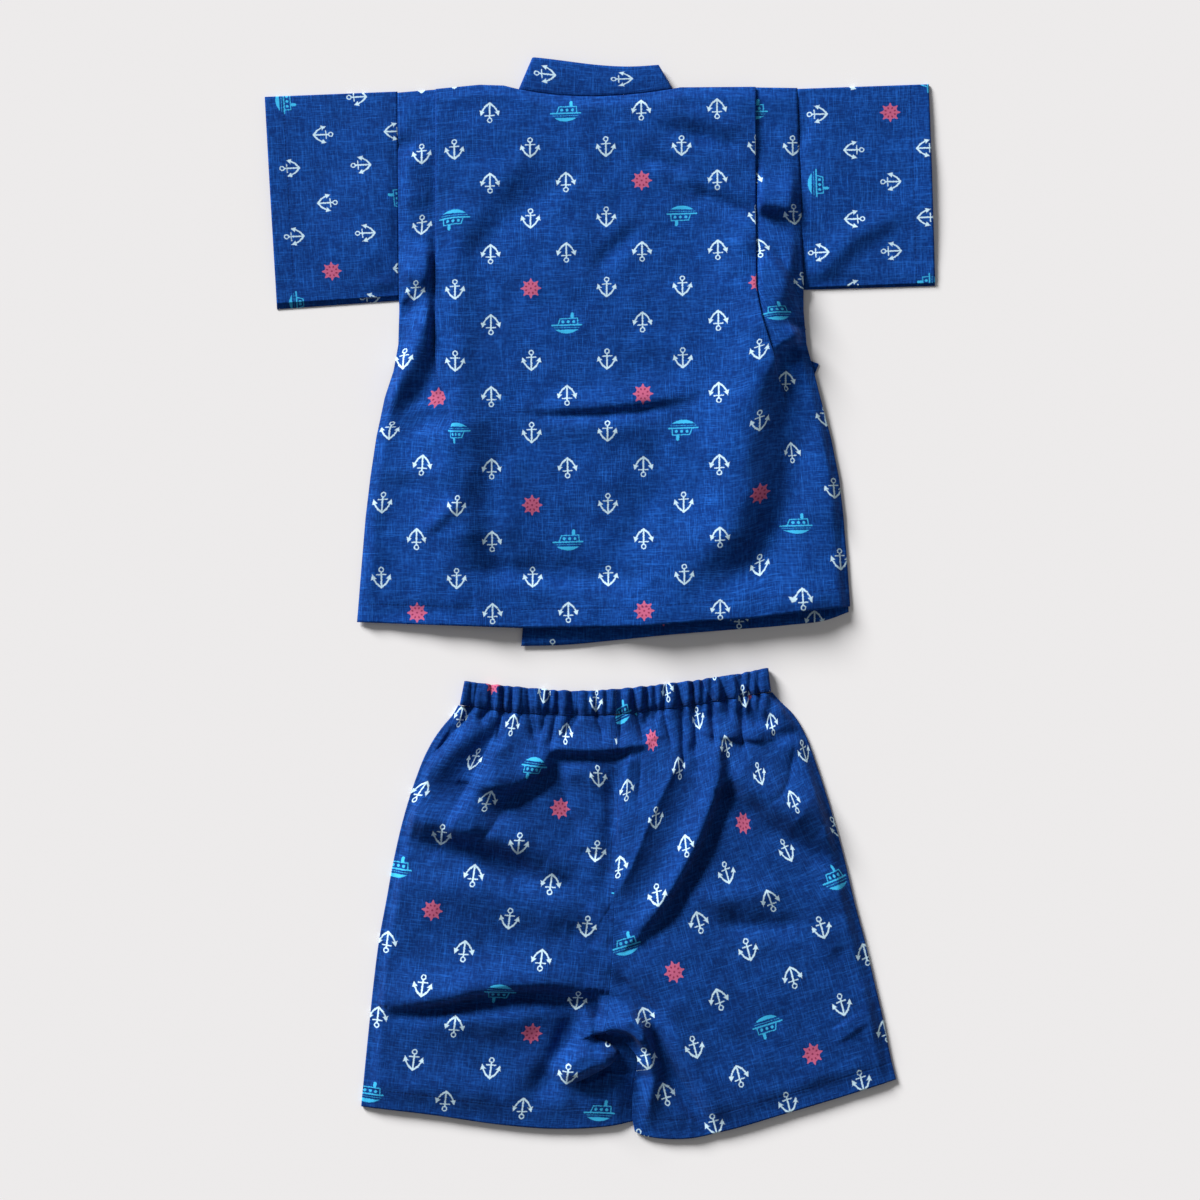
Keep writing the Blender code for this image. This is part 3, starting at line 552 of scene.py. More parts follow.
def backSheet(c, v):
    # The back hangs between two tucks. Its folds are heights added to the flat cloth.
    cut = jacketBack
    leftX, rightX = cut["tuckX"]
    leftQ, rightQ = np.clip(leftX - c, 0, None), np.clip(c - rightX, 0, None)
    flat = np.clip(c, leftX, rightX)
    x = flat
    for _ in range(4):              # a row's height depends on x, and x on the row's height
        low = column(cut["hem"], x)
        y = low + v * (column(cut["top"], x) - low)
        leftLine, rightLine = column(cut["leftLine"], y), column(cut["rightLine"], y)
        leftOut, leftDrop = tucked(leftQ, y, leftLine - column(cut["sides"], y), cut["leftEnd"])
        rightOut, rightDrop = tucked(rightQ, y, column(cut["sides"], y, 2) - rightLine, cut["rightEnd"])
        x = (flat - leftOut + rightOut + (leftLine - leftX) * np.clip(flat / leftX, 0, 1)
             + (rightLine - rightX) * np.clip(flat / rightX, 0, 1))
    height = creases(x, y, cut["folds"]) + cut["base"]
    for seed, length, tall in cut["ripples"]:
        height = height + tall * ripples(x, y, seed, length)
    height = height + creases(x, y, cut["stripFolds"]) * (ease(leftOut, 1, 8) + ease(rightOut, 1, 5))
    height = cut["highest"] - softFloor(cut["highest"] - height)
    toSeam = np.minimum(x - column(cut["sides"], y), column(cut["sides"], y, 2) - x)
    atSeam = 0.15 + 0.35 * ease(y, 222, 236)        # flatter at the seams, most below the armholes
    atSeam = atSeam + (1 - atSeam) * ease(toSeam, 0, 8)
    atTop = 0.2 + 0.8 * ease((1 - v) * (column(cut["top"], x) - low), 0, 9)
    height = softFloor(height * atSeam * atTop) + 1.4 * tieLift(x, y)
    cutX, cutY = printPlace(cut["print"], x, y)
    leftShare, rightShare = np.clip(leftQ / 3, 0, 1), np.clip(rightQ / 3, 0, 1)
    cutX = cutX - leftShare * column(cut["hiddenLeft"], y) + rightShare * column(cut["hiddenRight"], y)
    onLeft, onRight = ease(-x, 105, 140), ease(x, 95, 135)
    cutY = (cutY + column(cut["riseLeft"], y) * onLeft + column(cut["riseRight"], y) * onRight
            + column(cut["riseMiddle"], y) * (1 - onLeft) * (1 - onRight))
    return x, y, centreZ - leftDrop - rightDrop + height, cutX, cutY, y - low


tuckSteps = np.append([0.15, 0.3, 0.5, 0.7, 0.85, 1, 1.33, 1.67, 2, 2.15, 2.3, 2.5, 2.7, 2.85, 3],
                      3 + np.linspace(0, 1, 24)[1:])
leftTuck, rightTuck = jacketBack["tuckX"]
backColumns = np.concatenate((leftTuck - tuckSteps[::-1], np.linspace(leftTuck, rightTuck, 150),
                              rightTuck + tuckSteps))
back = makeCloth("jacketBack", "jacket_back", "jacket_cloth", backColumns, 208, backSheet)

collarBand = {
    "neckLeft": (-60, 376), "neckRight": (54, 378.5), "leftTop": (-47.5, 405),
    "rightTop": (42.5, 398), "rise": 29, "turnIn": 8, "run": 190, "slant": 32, "ply": 1.3,
    "bow": 2, "endLift": (4.2, 2.4),      # how the seam curves, and how far its two ends curl up
    "print": {"across": (0, 1, -279), "up": (-0.946, 0, -38.8)},
}


def turnOver(spot, level, start, end, lowLevel, keep):
    # Folds a flat sheet about the line from start to end, down to lowLevel. The part of it
    # that keep lies on stays where it is.
    start, end, keep = np.array(start), np.array(end), np.array(keep)
    line = (end - start) / np.linalg.norm(end - start)
    normal = np.array((-line[1], line[0]))
    normal = -normal if np.dot(keep - start, normal) > 0 else normal
    radius = (level - lowLevel) / 2
    q = (spot - start) @ normal
    turn = math.pi * radius
    angle = np.clip(q, 0, turn) / radius
    out = np.where(q < 0, q, radius * np.sin(angle) - np.clip(q - turn, 0, None))
    return spot + (out - q)[:, None] * normal, level - radius * (1 - np.cos(angle))


def collarPlace(x, v):
    # One straight strip: x runs along it and v from its seam to its free edge. Beyond each end
    # of the neck it is folded under and becomes a front band.
    cut = collarBand
    level = centreZ + gap
    (leftX, leftY), (rightX, rightY) = cut["neckLeft"], cut["neckRight"]
    middle = (leftX + rightX) / 2
    half = rightX - middle
    part = np.abs(x - middle) / half
    bow = cut["bow"] * np.clip(1 - part ** 2, 0, None)
    bow = bow - np.where(x < middle, *cut["endLift"]) * (1 - v) * part ** 2 * (1 - ease(part, 1, 1.3))
    past = np.clip(np.abs(x - middle) - half - 10, 0, None) / (cut["run"] - 10)
    x = x - np.sign(x - middle) * cut["slant"] * v * past
    seam = leftY + (rightY - leftY) / (rightX - leftX) * (x - leftX) - bow
    rise = cut["rise"] - cut["turnIn"] * ease(x, -60, 30) * (1 - ease(x, 60, 100))
    spot = np.stack((x, seam + gap + v * rise), -1)
    left, zLeft = turnOver(spot, level, cut["neckLeft"], cut["leftTop"], leftBandZ, (0, 380))
    right, zRight = turnOver(spot, level, cut["neckRight"], cut["rightTop"], rightBandZ, (0, 380))
    onLeft = x < middle
    return (*np.where(onLeft[:, None], left, right).T, np.where(onLeft, zLeft, zRight))


def collarSheet(way, v):
    # At the neck the strip is plump and slightly puckered
    x, y, z = collarPlace(way, v)
    atNeck = ease(way, -64, -50) * ease(-way, -56, -44)
    crown = 0.7 * np.sin(math.pi * v) + 0.25 * np.sin(way / 7.5) * np.sin(math.pi * v)
    up = v * collarBand["rise"]
    cutX, cutY = printPlace(collarBand["print"], way, collarBand["neckLeft"][1] + up)
    return x, y, z + atNeck * crown, cutX, cutY, up + 12


neckLeft, neckRight, run = collarBand["neckLeft"][0], collarBand["neckRight"][0], collarBand["run"]
collarStops = np.concatenate((      # closest together where the strip folds over
    np.linspace(neckLeft - run, neckLeft - 14, 40), np.arange(neckLeft - 13, neckLeft + 16, 0.8),
    np.linspace(-42, 32, 38), np.arange(neckRight - 20, neckRight + 10, 0.8),
    np.linspace(neckRight + 12, neckRight + run, 40)))
collarPiece = makeCloth("collarBand", "collar", "jacket_cloth", collarStops, 14, collarSheet,
                        collarBand["ply"])

sleeveCuts = {
    "left": {"side": -1, "cuffX": -251.2, "cuffLean": 9, "top": (378.5, 374.5),
             "backLow": (226.5, 220.5), "frontLow": (223, 216.5), "puff": 3.4, "seed": 11,
             "print": {"across": (0.0477, -1.1014, 505.2), "up": (1.016, 0.0667, 79)},
             "folds": (
                 ("low bright", 1.6, 14, 16, -221, 280, -191, 268, -159, 248),
                 ("seam bright", 1.4, 6, 6, -169, 235, -154, 232),
                 ("lower corner", -1.8, 8, 8, -236, 231, -219, 218),
                 ("middle dip", -0.9, 12, 12, -225, 336, -195, 325, -158, 328),
             )},
    "right": {"side": 1, "cuffX": 246.5, "cuffLean": 4.7, "top": (380.5, 384),
              "backLow": (232.5, 236), "frontLow": (231, 234), "puff": 3.4, "seed": 12,
              "print": {"across": (-0.0289, 1.0882, -333.1), "up": (-0.9974, -0.01, 111.7)},
              "folds": (
                  ("seam shade", -3.4, 4, 6, 151, 380, 153, 345),
                  ("diagonal ridge", 3.2, 11, 9, 159, 237, 188, 268, 226, 289),
                  ("lower outer dip", -1.8, 9, 9, 221, 257, 248, 250),
                  ("upper dip", -0.9, 12, 12, 172, 358, 202, 347, 240, 351),
              )},
}


def wrapped(w, edgeLevel):
    # One cloth laid double: w 0-1 is the upper layer, 1-2 the bend and 2-3 the lower layer.
    # Gives the share of the way to the bend, the outward bulge and the height.
    radius = (edgeLevel - floorZ) / 2
    share = np.where(w < 1, w, np.where(w > 2, 3 - w, 1))
    angle = math.pi * np.clip(w - 1, 0, 1)
    return share, radius * np.sin(angle), edgeLevel - radius * (1 - np.cos(angle))


def wrapStops(top, bend, bottom):
    return (list(np.linspace(0, 1, top) ** 1.1) + list(1 + np.linspace(0, 1, bend + 2)[1:-1])
            + list(np.linspace(2, 3, bottom)))


def makeSleeve(name, node, cut):
    # A sleeve lies double, with its bend along the top
    side, edge = cut["side"], sideZ + 0.4

    def sheet(w, v):
        share, bulge, z = wrapped(w, edge)
        lowIn, lowOut = (np.where(w < 1.5, *pair) for pair in zip(cut["backLow"], cut["frontLow"]))
        low = lowIn + v * (lowOut - lowIn)
        top = cut["top"][0] + v * (cut["top"][1] - cut["top"][0])
        y = low + share * (top - low) + bulge
        inner = column(jacketBack["sides"], y, 1 if side < 0 else 2) + side * 0.1
        cuff = cut["cuffX"] + cut["cuffLean"] * (1 - share)
        x = inner + v * (cuff - inner)
        puff = cut["puff"] * np.sin(math.pi * share) * (0.55 + 0.45 * np.cos(6 * v - 1))
        edges = ease(share, 0, 0.08) * ease(share, 1, 0.94) * (0.5 + 0.5 * ease(v, 0, 0.08))
        lift = softFloor(puff + creases(x, y, cut["folds"]) + 0.5 * ripples(x, y, cut["seed"], 28)) * edges
        settle = (sideZ - edge) * ease(0.06 - share, 0, 0.06)
        cutX, cutY = printPlace(cut["print"], x, y)
        topX, _ = printPlace(cut["print"], x, top)
        cutX = np.where(w > 1.5, 2 * topX - cutX, cutX)
        return x, y, z + (lift + settle) * (w < 1), cutX, cutY, np.abs(x - cuff)

    return makeCloth(name, node, "jacket_cloth", wrapStops(110, 8, 12), 64, sheet)


sleeveLeft = makeSleeve("sleeveLeft", "sleeve_left", sleeveCuts["left"])
sleeveRight = makeSleeve("sleeveRight", "sleeve_right", sleeveCuts["right"])

fronts = {
    "left": {"side": 1, "neckX": -60, "turn": 14, "column": 1,
             "hem": ((75, -13), (0, -16.5), (-90, -16.5), (-180, -15))},
    "right": {"side": -1, "neckX": 54, "turn": 8, "column": 2,
              "hem": ((-59, -36), (-29, -35.3), (13, -31.5), (50, -27.8), (96, -24), (141, -20.3),
                      (170, -16.5), (187, -10.5))},
    "bandReach": 75,
    "print": {"across": (0.998, 0, 92), "up": (0.03, 1, -341)},
}


def makeFront(name, node, cut):
    # A front lies flat under the back, between its hem, the side seam, the shoulder and the band
    side = cut["side"]
    bandX = cut["neckX"] - side * np.linspace(190, cut["turn"], 6)
    band = np.stack(collarPlace(bandX, np.zeros(6))[:2], -1)
    ahead = (band[-1] - band[0]) / np.linalg.norm(band[-1] - band[0])
    band = [tuple(p) for p in band + np.array((ahead[1], -ahead[0])) * -side * 2 * gap]
    heights = np.linspace(cut["hem"][-1][1], 379, 9)
    outer = [(float(column(jacketBack["sides"], y, cut["column"])) + side, float(y)) for y in heights]
    low = tuple(cut["hem"][:-1]) + (outer[0],)
    inner = [low[0], ((low[0][0] + band[0][0]) / 2, (low[0][1] + band[0][1]) / 2)] + band
    high = (band[-1], ((outer[-1][0] + band[-1][0]) / 2, 381), outer[-1])

    def sheet(u, v):
        x, y = patch(low, high, inner, outer, u, v).T
        z = np.full_like(x, floorZ)
        if side < 0:
            z = z + (rightFrontZ - floorZ) * (1 - ease(x, fronts["bandReach"] + 2, fronts["bandReach"] + 18))
            z = z + tieLift(x, y)
        cutX, cutY = printPlace(fronts["print"], x, y)
        return x, y, z, cutX, cutY, v * 390

    return makeCloth(name, node, "jacket_cloth", 90, 120, sheet)


frontLeft = makeFront("jacketFrontLeft", "jacket_front_left", fronts["left"])
frontRight = makeFront("jacketFrontRight", "jacket_front_right", fronts["right"])

# Tie sewn into the right side seam, folded cloth whose end shows beside the jacket
tieEnd = {"path": ((151, 204), (143, 192), (146, 180), (153, 175.5), (162.5, 171.5)),
          "length": 40, "width": 8.5, "ply": 1}


def heading(path, share, reach):
    # Unit vector along a path, from a little before the share to a little after it
    ahead = along(path, np.clip(share + reach, 0, 1)) - along(path, np.clip(share - reach, 0, 1))
    return ahead / np.linalg.norm(ahead, axis=1)[:, None]


def tieSheet(t, v):
    # Follows the path at an even width, a little domed across
    middleX, middleY = along(tieEnd["path"], t).T
    aheadX, aheadY = heading(tieEnd["path"], t, 0.01).T
    aside = (v - 0.5) * tieEnd["width"]
    up = v * tieEnd["width"] + 12
    return (middleX - aheadY * aside, middleY + aheadX * aside, floorZ + 0.25 * np.sin(math.pi * v),
            t * tieEnd["length"] + 10, up, up)


tiePiece = makeCloth("tieEnd", "tie", "jacket_cloth", 60, 9, tieSheet, tieEnd["ply"])

waist = {
    "low": ((-103.5, -80), (-75, -84.5), (0, -87.5), (67.5, -80.5), (126.5, -70)),
    "top": ((-100, -62.3), (-75, -65), (0, -69), (31, -66), (70, -61.5), (106, -56), (124.5, -52.5)),
    "frontZ": 1.9, "backZ": 7.4, "ply": 0.9, "wave": 1.8, "pinchReach": 2.8, "seamDip": 0.3,
    # pinched folds: x at the band's top, at its seam and at the foot, height of the foot, depth
    "pinches": (
        (-96, -97.5, -101, -91.5, 2), (-91.5, -94.5, -106.5, -97.5, 1.6), (-82, -83, -88, -90, 3),
        (-71, -73.5, -77, -108, 2.6), (-64.5, -67, -69, -87, 1.5), (-58.5, -58.5, -61, -93, 1.2),
        (-54, -53, -50, -104, 1.6), (-49, -49, -47, -110, 1.2), (-38, -40.5, -43, -99, 2.2),
        (-32, -33, -37, -110, 2.6), (-22, -21, -27, -104, 2), (-16, -16.5, -22.5, -100.5, 1.6),
        (-4.5, -3, 2, -102, 2), (16, 16, 15, -108, 1.6), (24, 27, 32, -104, 2.6), (36, 36, 34.5, -94.5, 3),
        (42, 43, 41, -90, 2), (50, 47, 53, -108, 1.6), (57, 61.5, 62, -123, 2), (69, 70.5, 72, -112, 2.6),
        (75, 83, 85.5, -108, 3), (88, 95, 97, -87, 2), (100, 106, 106.5, -108, 2), (105, 112, 117, -93, 2.8),
        (114, 118.5, 127.5, -93, 1.6),
    ),
}
shorts = {
    "seam": ((11.5, -88), (13.5, -120), (13.5, -152), (11, -215), (9, -272), (6.5, -302), (5.5, -326)),
    "backZ": 3, "gain": 1.25, "base": 4.2, "highest": 20, "ripples": (21, 26, 0.8),
    "pinchLift": 2.6, "seamStitch": 3.4,
    # the cloth dives between the legs in a hook round a small lobe; its floor slopes off
    "hook": ((-5, -326.5), (3, -325.5), (9, -322), (24, -324), (36, -334), (40, -348), (36, -359), (23, -357),
             (14, -354.5), (5, -355.5), (-2, -359.5), (-10, -363), (-17, -361.5), (-9, -358), (0, -353),
             (8, -348), (12.5, -343), (12.8, -338.5), (9, -334.5), (3, -331), (-3, -329.5)),
    "hookFloor": (24, -360, 0.2), "printPull": 5.5,
    "lostPrint": ((6, -276, 5), (6, -295, 4), (1.5, -325, 6.5), (79, -148, 12)),     # taken in by a fold
    "left": {
        "side": -1, "takenIn": 0, "innerZ": 1.15, "innerLowZ": 0.35,
        "outer": ((-104.8, -80.6), (-109.5, -88.5), (-115, -95), (-121, -103), (-129, -117), (-137, -137),
                  (-146, -166), (-153, -196), (-158.5, -226), (-164, -256), (-168, -287), (-171.5, -320),
                  (-174.5, -350), (-177.5, -381)),
        "inseam": ((14, -327), (25, -331.5), (33, -343), (33, -360), (30.5, -376), (29.5, -391)),
        "inseamUnder": ((14, -326.5), (25, -331), (33, -342.5), (33, -359), (30.5, -376), (29.5, -391)),
        "hem": ((29.5, -391), (10, -395), (-31, -397.5), (-73, -394.5), (-126, -387), (-177.5, -381)),
        "print": {"across": (-0.9674, 0.1215, 46.8), "up": (-0.1053, -0.9549, -262.3)},
        "gathered": {"centre": -32, "more": 0.49, "from": -76, "to": -174},
    },
    "right": {
        "side": 1, "takenIn": 19, "innerZ": 3.4, "innerLowZ": 2.3,
        "outer": ((127.6, -70.8), (134, -78), (143, -87), (153, -104), (160, -123), (166, -141), (174, -167),
                  (182, -197), (189, -227), (197, -257), (204, -287), (211, -317), (217, -347),
                  (220.5, -361)),
        "inseam": ((13.5, -328), (22.5, -336), (27.8, -343.5), (27.5, -352), (25, -362), (24.3, -377),
                   (24.3, -390), (26, -399.5)),
        "inseamUnder": None,
        "hem": ((26, -399.5), (32, -402.5), (42, -404.3), (63, -405), (94, -399), (136, -387),
                (178, -374.5), (220.5, -361)),
        "print": {"across": (-0.9525, -0.2497, 122.7), "up": (0.2608, -0.8763, -285.7)},
        "gathered": {"centre": 87, "more": 0.6, "from": -99, "to": -249},
    },
    "folds": (
        ("fullness left", 3, 60, 60, -90, -140, -95, -250, -95, -340),
        ("fullness right", 4, 120, 55, 74, -130, 80, -230, 72, -330),
        ("left border swell", 4.5, 10, 8, -82.5, -85.5, -97.5, -101, -112.5, -115.5, -127.5, -133),
        ("long ridge", 5.5, 15, 7, -69, -93, -75, -110, -82.5, -127.5, -91.5, -145.5, -103.5, -165,
         -114, -180),
        ("deep step", 7, 6, 15, -37, -111, -43, -123, -54, -133, -70, -139, -92, -138),
        ("deep valley", -5, 6, 6, -36, -127, -49, -142, -64, -152, -73, -157),
        ("waist step", 5, 13, 3, -40.5, -112, -15, -113, 9, -112.5, 34.5, -107),
        ("waist step valley", -3.2, 3, 5, -35, -118.5, 0, -119, 31.5, -114),
        ("bright panel", 2.2, 9, 9, -28, -133, -11, -130.5, 0, -133.5),
        ("seam dip", -4, 8, 8, 10, -125, 10, -159, 9, -189, 5, -223),
        ("right long ridge", 8, 4.5, 10, 85.5, -93, 88, -115.5, 87, -138, 80, -160.5, 70.5, -185,
         58.5, -208, 41, -235.5, 27, -253),
        ("right deep valley", -4.5, 9, 4.5, 95, -141, 86, -165, 77, -187.5, 64.5, -210, 46.5, -238,
         34, -250.5),
        ("right branch", 9, 18, 16, 88, -124, 111, -140, 135, -153, 165, -172),
        ("branch valley", -4, 10, 10, 96, -145.5, 120, -165, 146, -183, 180, -204),
        ("branch corner", -4.5, 8, 7, 92, -139, 97, -150),
        ("right cross step", 3, 10, 2.5, 87, -103, 103.5, -104, 124, -106),
        ("right waist dip", -2.6, 5, 6, 126, -105, 141, -102, 151.5, -100),
        ("waist pocket", -3, 5, 6, 106.5, -85.5, 118.5, -90, 129, -95),
        ("left shelf", 8, 13, 12, -154, -162, -120, -168, -94, -172, -66, -182, -42, -198),
        ("broad left dip", -6.5, 12, 12, -135, -178.5, -112.5, -186, -90, -193.5, -66, -202.5, -46, -215),
        ("below left dip", 4.5, 12, 22, -151.5, -214.5, -97.5, -217.5, -52.5, -226.5, -7.5, -235.5),
        ("dip tail", -2.6, 5, 6, -30, -208.5, -16.5, -220.5, -4.5, -234),
        ("seam patch", -2.4, 8, 8, -25.5, -249, -10.5, -250.5, 0, -260),
        ("seam patch high", -1.6, 4, 4, -16.5, -190.5, 0, -194),
        ("right middle swell", 2.8, 10, 10, 75, -225, 105, -223, 139, -219),
        ("right middle dip", -3, 8, 9, 88, -244, 120, -245, 152, -243),
        ("right outer dip", -2.6, 9, 10, 174, -262, 188, -275, 200, -292),
        ("right outer swell", 2.4, 11, 11, 182, -316, 189, -327),
        ("left cross step", 9, 18, 5.5, -156, -304, -120, -299, -90, -292, -60, -287.5, -30, -287.5,
         -12, -291),
        ("left cross valley", -5.5, 6, 5, -148.5, -310, -112.5, -306, -82.5, -300, -52.5, -298.5, -30, -302,
         -4.5, -302.5),
        ("below left crease", 3.6, 7, 12, -127.5, -319.5, -82.5, -315, -39, -312),
        ("cross turn", -7, 4, 5, -9, -299, -3, -307, -1, -317),
        ("left inner ridge", 4.5, 8, 8, -7, -307.5, -9, -324, -15, -343, -24, -364.5),
        ("left inner valley", -5, 10, 8, -19.5, -310.5, -27, -333, -37.5, -354, -49, -373.5),
        ("fork ray", -4, 5, 6, 10, -282, 24, -294, 37.5, -306, 48, -316.5),
        ("fork lip", 9, 9, 3, -3, -325, 3, -322.5, 15, -321, 25.5, -324, 32, -332),
        ("fork swell", 7.5, 6, 8, 4, -307.5, 21, -312, 31.5, -324, 37.5, -343.5, 36, -369, 32, -394.5),
        ("fork lobe", 13, 9, 9, -30, -353, -9, -346, 5, -344, 12, -343),
        ("right inner crease", -4.5, 8, 5, 30, -312, 40.5, -330, 46.5, -348, 58, -366, 70, -382.5,
         79.5, -397),
        ("right inner ridge", 2.4, 7, 7, 51, -313, 63, -340, 78, -366, 90, -390),
        ("left hem swell", 1.8, 12, 12, -150, -369, -112, -365, -75, -374),
        ("right hem dip", -1.4, 6, 8, 120, -382, 165, -368, 210, -354),
    ),
    "edges": (
        ("edge strip", -6.5, 4, 2.5, -97.5, -79, -103, -87, -110, -97.5, -118, -109, -126, -118),
        ("long valley", -3.6, 3, 12, -72.8, -81, -77.3, -93, -81.8, -106.5, -88.5, -120, -95.3, -134,
         -103.5, -148, -111, -160.5, -115.5, -170),
        ("gather line", -3.4, 5, 14, -35, -119, -30, -138, -24, -157.5, -16.5, -175.5, -7.5, -190.5),
        ("below deep step", -2.6, 4, 6, -67.5, -155, -75, -163, -82.5, -174, -92, -182, -101, -189),
        ("arc", 3.2, 10, 2.5, 34, -108, 24, -115, 21, -125, 19, -144, 16.5, -159, 14.5, -170, 15.5, -182,
         20.5, -189),
        ("arc fork", -1.8, 2.5, 5, 30.5, -118, 30, -136, 28, -152),
        ("inner edge", 6, 11, 18, 67, -104, 62.5, -114, 57, -125, 49.5, -140, 41, -157.5, 34, -174,
         28, -189, 21, -205.5, 11, -223),
        ("dark panel", -2.6, 3, 7, 68, -108, 73, -122, 75, -134),
        ("inner crease", -6, 2.5, 2.5, 38, -322, 44, -338, 50, -352, 58, -366, 70, -382.5, 79.5, -397),
        ("pocket line", -2.2, 7, 3, 146, -109, 143, -125, 140.5, -137, 133.5, -148, 127, -152),
    ),
}


def pinched(x, y):
    # Cloth drawn up on the elastic. Each row is a sharp valley, depth * exp(-(distance / reach)^1.2),
    # that leans from the band's top through its seam to its foot. Slight ribs lie between them.
    seamX, seamY = np.array(waist["low"], float).T
    onBand = ease(y, -88, -80)
    total = (0.25 + 0.45 * onBand) * np.sin(x / 1.4 + 1.6 * np.sin(x / 6)) * ease(y, -98, -86)
    atSeam = np.exp(-((y - np.interp(x, seamX, seamY)) / 3) ** 2)
    for top, seam, foot, footY, depth in waist["pinches"]:
        level = np.interp(seam, seamX, seamY)
        line = np.interp(y, (footY, level, level + 20), (foot, seam, top))
        reach = waist["pinchReach"] * (0.7 + 0.2 * depth) * (1 - 0.2 * onBand)
        valley = np.exp(-(np.abs(x - line) / reach) ** 1.2)
        total -= depth * valley * ease(y, footY - 8, footY + 4) * (1 + 0.5 * atSeam)
    return total - waist["seamDip"] * atSeam


def gatheredPrint(leg, x, y):
    # The print is squeezed sideways where the elastic draws the cloth up, and the crease beside
    # the fork takes cloth in
    gathered = leg["gathered"]
    squeeze = 1 + gathered["more"] * (1 - ease(-y, -gathered["from"], -gathered["to"]))
    crease = np.interp(-y, (322, 338, 352), (38, 44, 50))
    takenIn = leg["takenIn"] * ease(crease - x, 0, 2) * ease(y, -356, -351) * ease(-y, 320, 325)
    y = y - shorts["printPull"] * np.exp(-((x - 10) / 45) ** 2) * ease(y, -292, -328) - 0.3 * takenIn
    x = x - takenIn
    return printPlace(leg["print"], gathered["centre"] + (x - gathered["centre"]) * squeeze, y)


def makeLeg(name, node, leg):
    # A leg lies double, with its bend along the outer edge and the middle seam on its inner one
    side = leg["side"]
    seam = along(shorts["seam"], np.linspace(0, 1, 14))
    band = along(waist["low"], np.linspace(0, 1, 15))
    band = sorted((tuple(p) for p in band), key=lambda p: side * p[0])
    outer, hemLine = leg["outer"], leg["hem"]
    seed, length, tall = shorts["ripples"]
    first, last = side * seam[0][0] + 6, side * outer[0][0] - 5
    top = [tuple(seam[0])] + [p for p in band if first < side * p[0] < last] + [outer[0]]
    inner = [tuple(p) for p in seam] + list(leg["inseam"])
    under = [tuple(p) for p in seam[:-2]] + list(leg["inseamUnder"]) if leg["inseamUnder"] else inner

    def sheet(w, v):
        share, bulge, z = wrapped(w, shorts["backZ"])
        spot = np.where((w < 1.5)[:, None], patch(top, hemLine, inner, outer, share, v),
                        patch(top, hemLine, under, outer, share, v))
        edge = np.array((0, -1)) + (heading(outer, v, 0.04) - (0, -1)) * ease(v, 0, 0.14)[:, None]
        x, y = spot[:, 0] - side * edge[:, 1] * bulge, spot[:, 1] + side * edge[:, 0] * bulge
        nearEdge = ease(share, 1, 0.95)
        nearHem = 0.3 + 0.7 * ease(v, 1, 0.93)
        dive = inside(x, y, shorts["hook"], 2) * (side < 0)
        lowX, lowY, slope = shorts["hookFloor"]
        hookZ = 1.2 + slope * np.clip((lowX - x) * 0.62 + (y - lowY) * 0.79, 0, 20)
        innerDrop = ease(share, 0.10, 0) * ease(y, -346, -360)
        folds = creases(x, y, shorts["folds"]) + creases(x, y, shorts["edges"], 1)
        spare = shorts["highest"] - (shorts["gain"] * folds + shorts["base"])
        height = shorts["highest"] - softFloor(spare - tall * ripples(x, y, seed, length))
        lift = softFloor(height + shorts["pinchLift"] * pinched(x, y)) * nearEdge * nearHem
        seamZ = np.maximum(waist["backZ"] + waist["wave"] * pinched(x, y) - 0.3, 1.6)
        lowLift = (waist["frontZ"] - floorZ) * ease(v, 0.05, 0) * ease(share, 1, 0.85)
        topZ = z + lift * (1 - innerDrop)
        topZ = topZ + (seamZ - topZ) * ease(v, 0.1, 0) * nearEdge
        topZ = topZ + (leg["innerZ"] - shorts["backZ"]) * innerDrop
        topZ = topZ - np.maximum(topZ - hookZ, 0) * dive
        lowZ = np.maximum(z + lowLift * ease(w, 1, 2), clothPly / 2)
        lowZ = lowZ + (leg["innerLowZ"] - floorZ) * innerDrop
        cutX, cutY = gatheredPrint(leg, x, y)
        outX, _ = gatheredPrint(leg, *along(outer, v).T)
        cutX = np.where(w > 1.5, 2 * outX - cutX, cutX)
        hem = np.abs(y - np.interp(x, *np.array(sorted(hemLine)).T)) * 0.97
        if side < 0:            # the middle seam is sewn down towards this leg
            fromSeam = np.abs(x - np.interp(y, *np.array(shorts["seam"][::-1]).T[::-1]))
            hem = np.minimum(hem, fromSeam - shorts["seamStitch"] + slubCotton["hemLine"])
        for spotX, spotY, reach in shorts["lostPrint"]:
            hem = np.where(((x - spotX) ** 2 + (y - spotY) ** 2 < reach ** 2) * (w < 1.5), unprinted, hem)
        hem = np.where(dive * (w < 1.5) > 0.75, unprinted, hem)
        return x, y, np.where(w < 1, topZ, lowZ), cutX, cutY, hem

    return makeCloth(name, node, "shorts_cloth", wrapStops(174, 8, 14), 236, sheet)


legLeft = makeLeg("shortsLegLeft", "shorts_leg_left", shorts["left"])
legRight = makeLeg("shortsLegRight", "shorts_leg_right", shorts["right"])

bandHalf, bandBend = 300, 8         # columns of each layer and of each bend


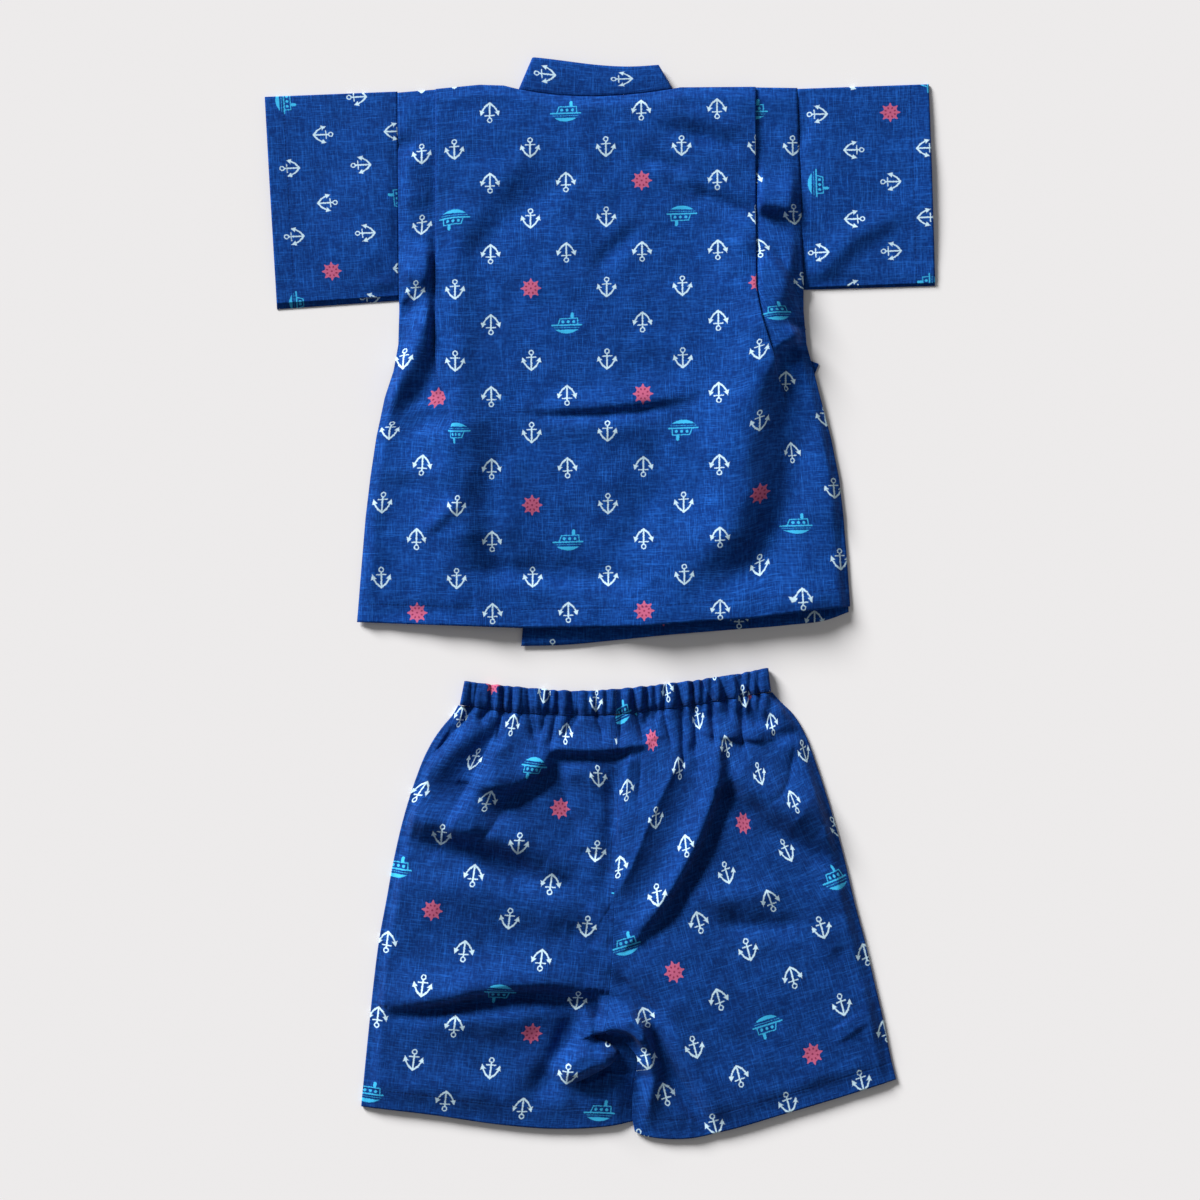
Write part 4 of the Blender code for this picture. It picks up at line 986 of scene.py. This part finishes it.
def bandSheet(c, v):
    # The casing is a flat ring: columns to bandHalf are its back layer, then one end's bend, the
    # front layer under it and the other end's bend
    top = c <= bandHalf
    firstBend = (c > bandHalf) & (c <= bandHalf + bandBend)
    bottom = (c > bandHalf + bandBend) & (c <= 2 * bandHalf + bandBend)
    share = np.select((top, bottom, firstBend),
                      (c / bandHalf, (2 * bandHalf + bandBend - c) / bandHalf, 1), 0)
    turn = np.select((top | bottom, firstBend), (0, (c - bandHalf) / bandBend),
                     (c - 2 * bandHalf - bandBend) / bandBend)
    radius, centre = (waist["backZ"] - waist["frontZ"]) / 2, (waist["backZ"] + waist["frontZ"]) / 2
    out = 0.4 * radius * np.sin(math.pi * turn) * np.where(firstBend, 1, -1)
    swing = np.where(top, 1, np.where(bottom, -1, np.where(firstBend, 1, -1) * np.cos(math.pi * turn)))
    low, high = along(waist["low"], share), along(waist["top"], share)
    x, y = (low * (1 - v)[:, None] + high * v[:, None]).T
    calm, pinch = ease(np.minimum(share, 1 - share), 0, 0.03), pinched(x, y)
    wave = calm * np.where(swing > 0, waist["wave"] * pinch, 0.5 * np.sin(x / 2.2))
    belly = 0.9 * np.sin(math.pi * np.clip(v, 0, 1)) ** 0.7      # elastic inside the casing
    scallop = 0.3 * calm * pinch * ease(v, 0.8, 1)
    z = np.maximum(centre + radius * swing + wave + belly * swing, waist["ply"] / 2)
    cutX, cutY = (np.where(x < 11.5, *pair) for pair in zip(gatheredPrint(shorts["left"], x, y),
                                                            gatheredPrint(shorts["right"], x, y)))
    return x + out, y + scallop, z, cutX, cutY, v * 18 + 12.3


waistPiece = makeCloth("shortsWaistband", "shorts_waistband", "shorts_cloth",
                       np.arange(2 * bandHalf + 2 * bandBend + 1), 14, bandSheet, waist["ply"], ring=True)

studio = {"floor": "#EDEBEB", "sky": 0.21, "sun": 5.86, "sunTurn": -50, "sunHeight": 25, "sunSize": 24,
          "lens": 100, "view": 900}
scene = bpy.context.scene
scene.view_settings.view_transform = "Standard"


def placed(name, data):
    # Puts an object in the scene
    obj = bpy.data.objects.new(name, data)
    scene.collection.objects.link(obj)
    return obj


floorMesh = bpy.data.meshes.new("floor")
floorMesh.from_pydata([(x, y, 0) for x, y in ((-3, -3), (3, -3), (3, 3), (-3, 3))], [], [(0, 1, 2, 3)])
floorLook = bpy.data.materials.new("matt paper")      # plain sheet with no gloss
floorLook.use_nodes = True
floorShader = floorLook.node_tree.nodes["Principled BSDF"]
floorShader.inputs["Base Color"].default_value = linear(studio["floor"])
floorShader.inputs["Roughness"].default_value = 1
floorShader.inputs["Specular IOR Level"].default_value = 0
floorMesh.materials.append(floorLook)
floorPiece = placed("floor", floorMesh)

sky = bpy.data.worlds.new("studio")
sky.use_nodes = True
sky.node_tree.nodes["Background"].inputs[0].default_value = (1, 1, 1, 1)
sky.node_tree.nodes["Background"].inputs[1].default_value = studio["sky"]
scene.world = sky
sun = bpy.data.lights.new("key", "SUN")
sun.energy = studio["sun"]
sun.angle = math.radians(studio["sunSize"])
placed("key", sun).rotation_euler = (math.radians(90 - studio["sunHeight"]), 0,
                                     math.radians(180 + studio["sunTurn"] + 90))

cameraData = bpy.data.cameras.new("camera")
cameraData.lens = studio["lens"]
cameraData.sensor_width = 36
cameraData.sensor_fit = "HORIZONTAL"
camera = placed("camera", cameraData)
camera.location = (0, -0.0015, studio["view"] * mm * studio["lens"] / cameraData.sensor_width)
scene.camera = camera
print("studio made")
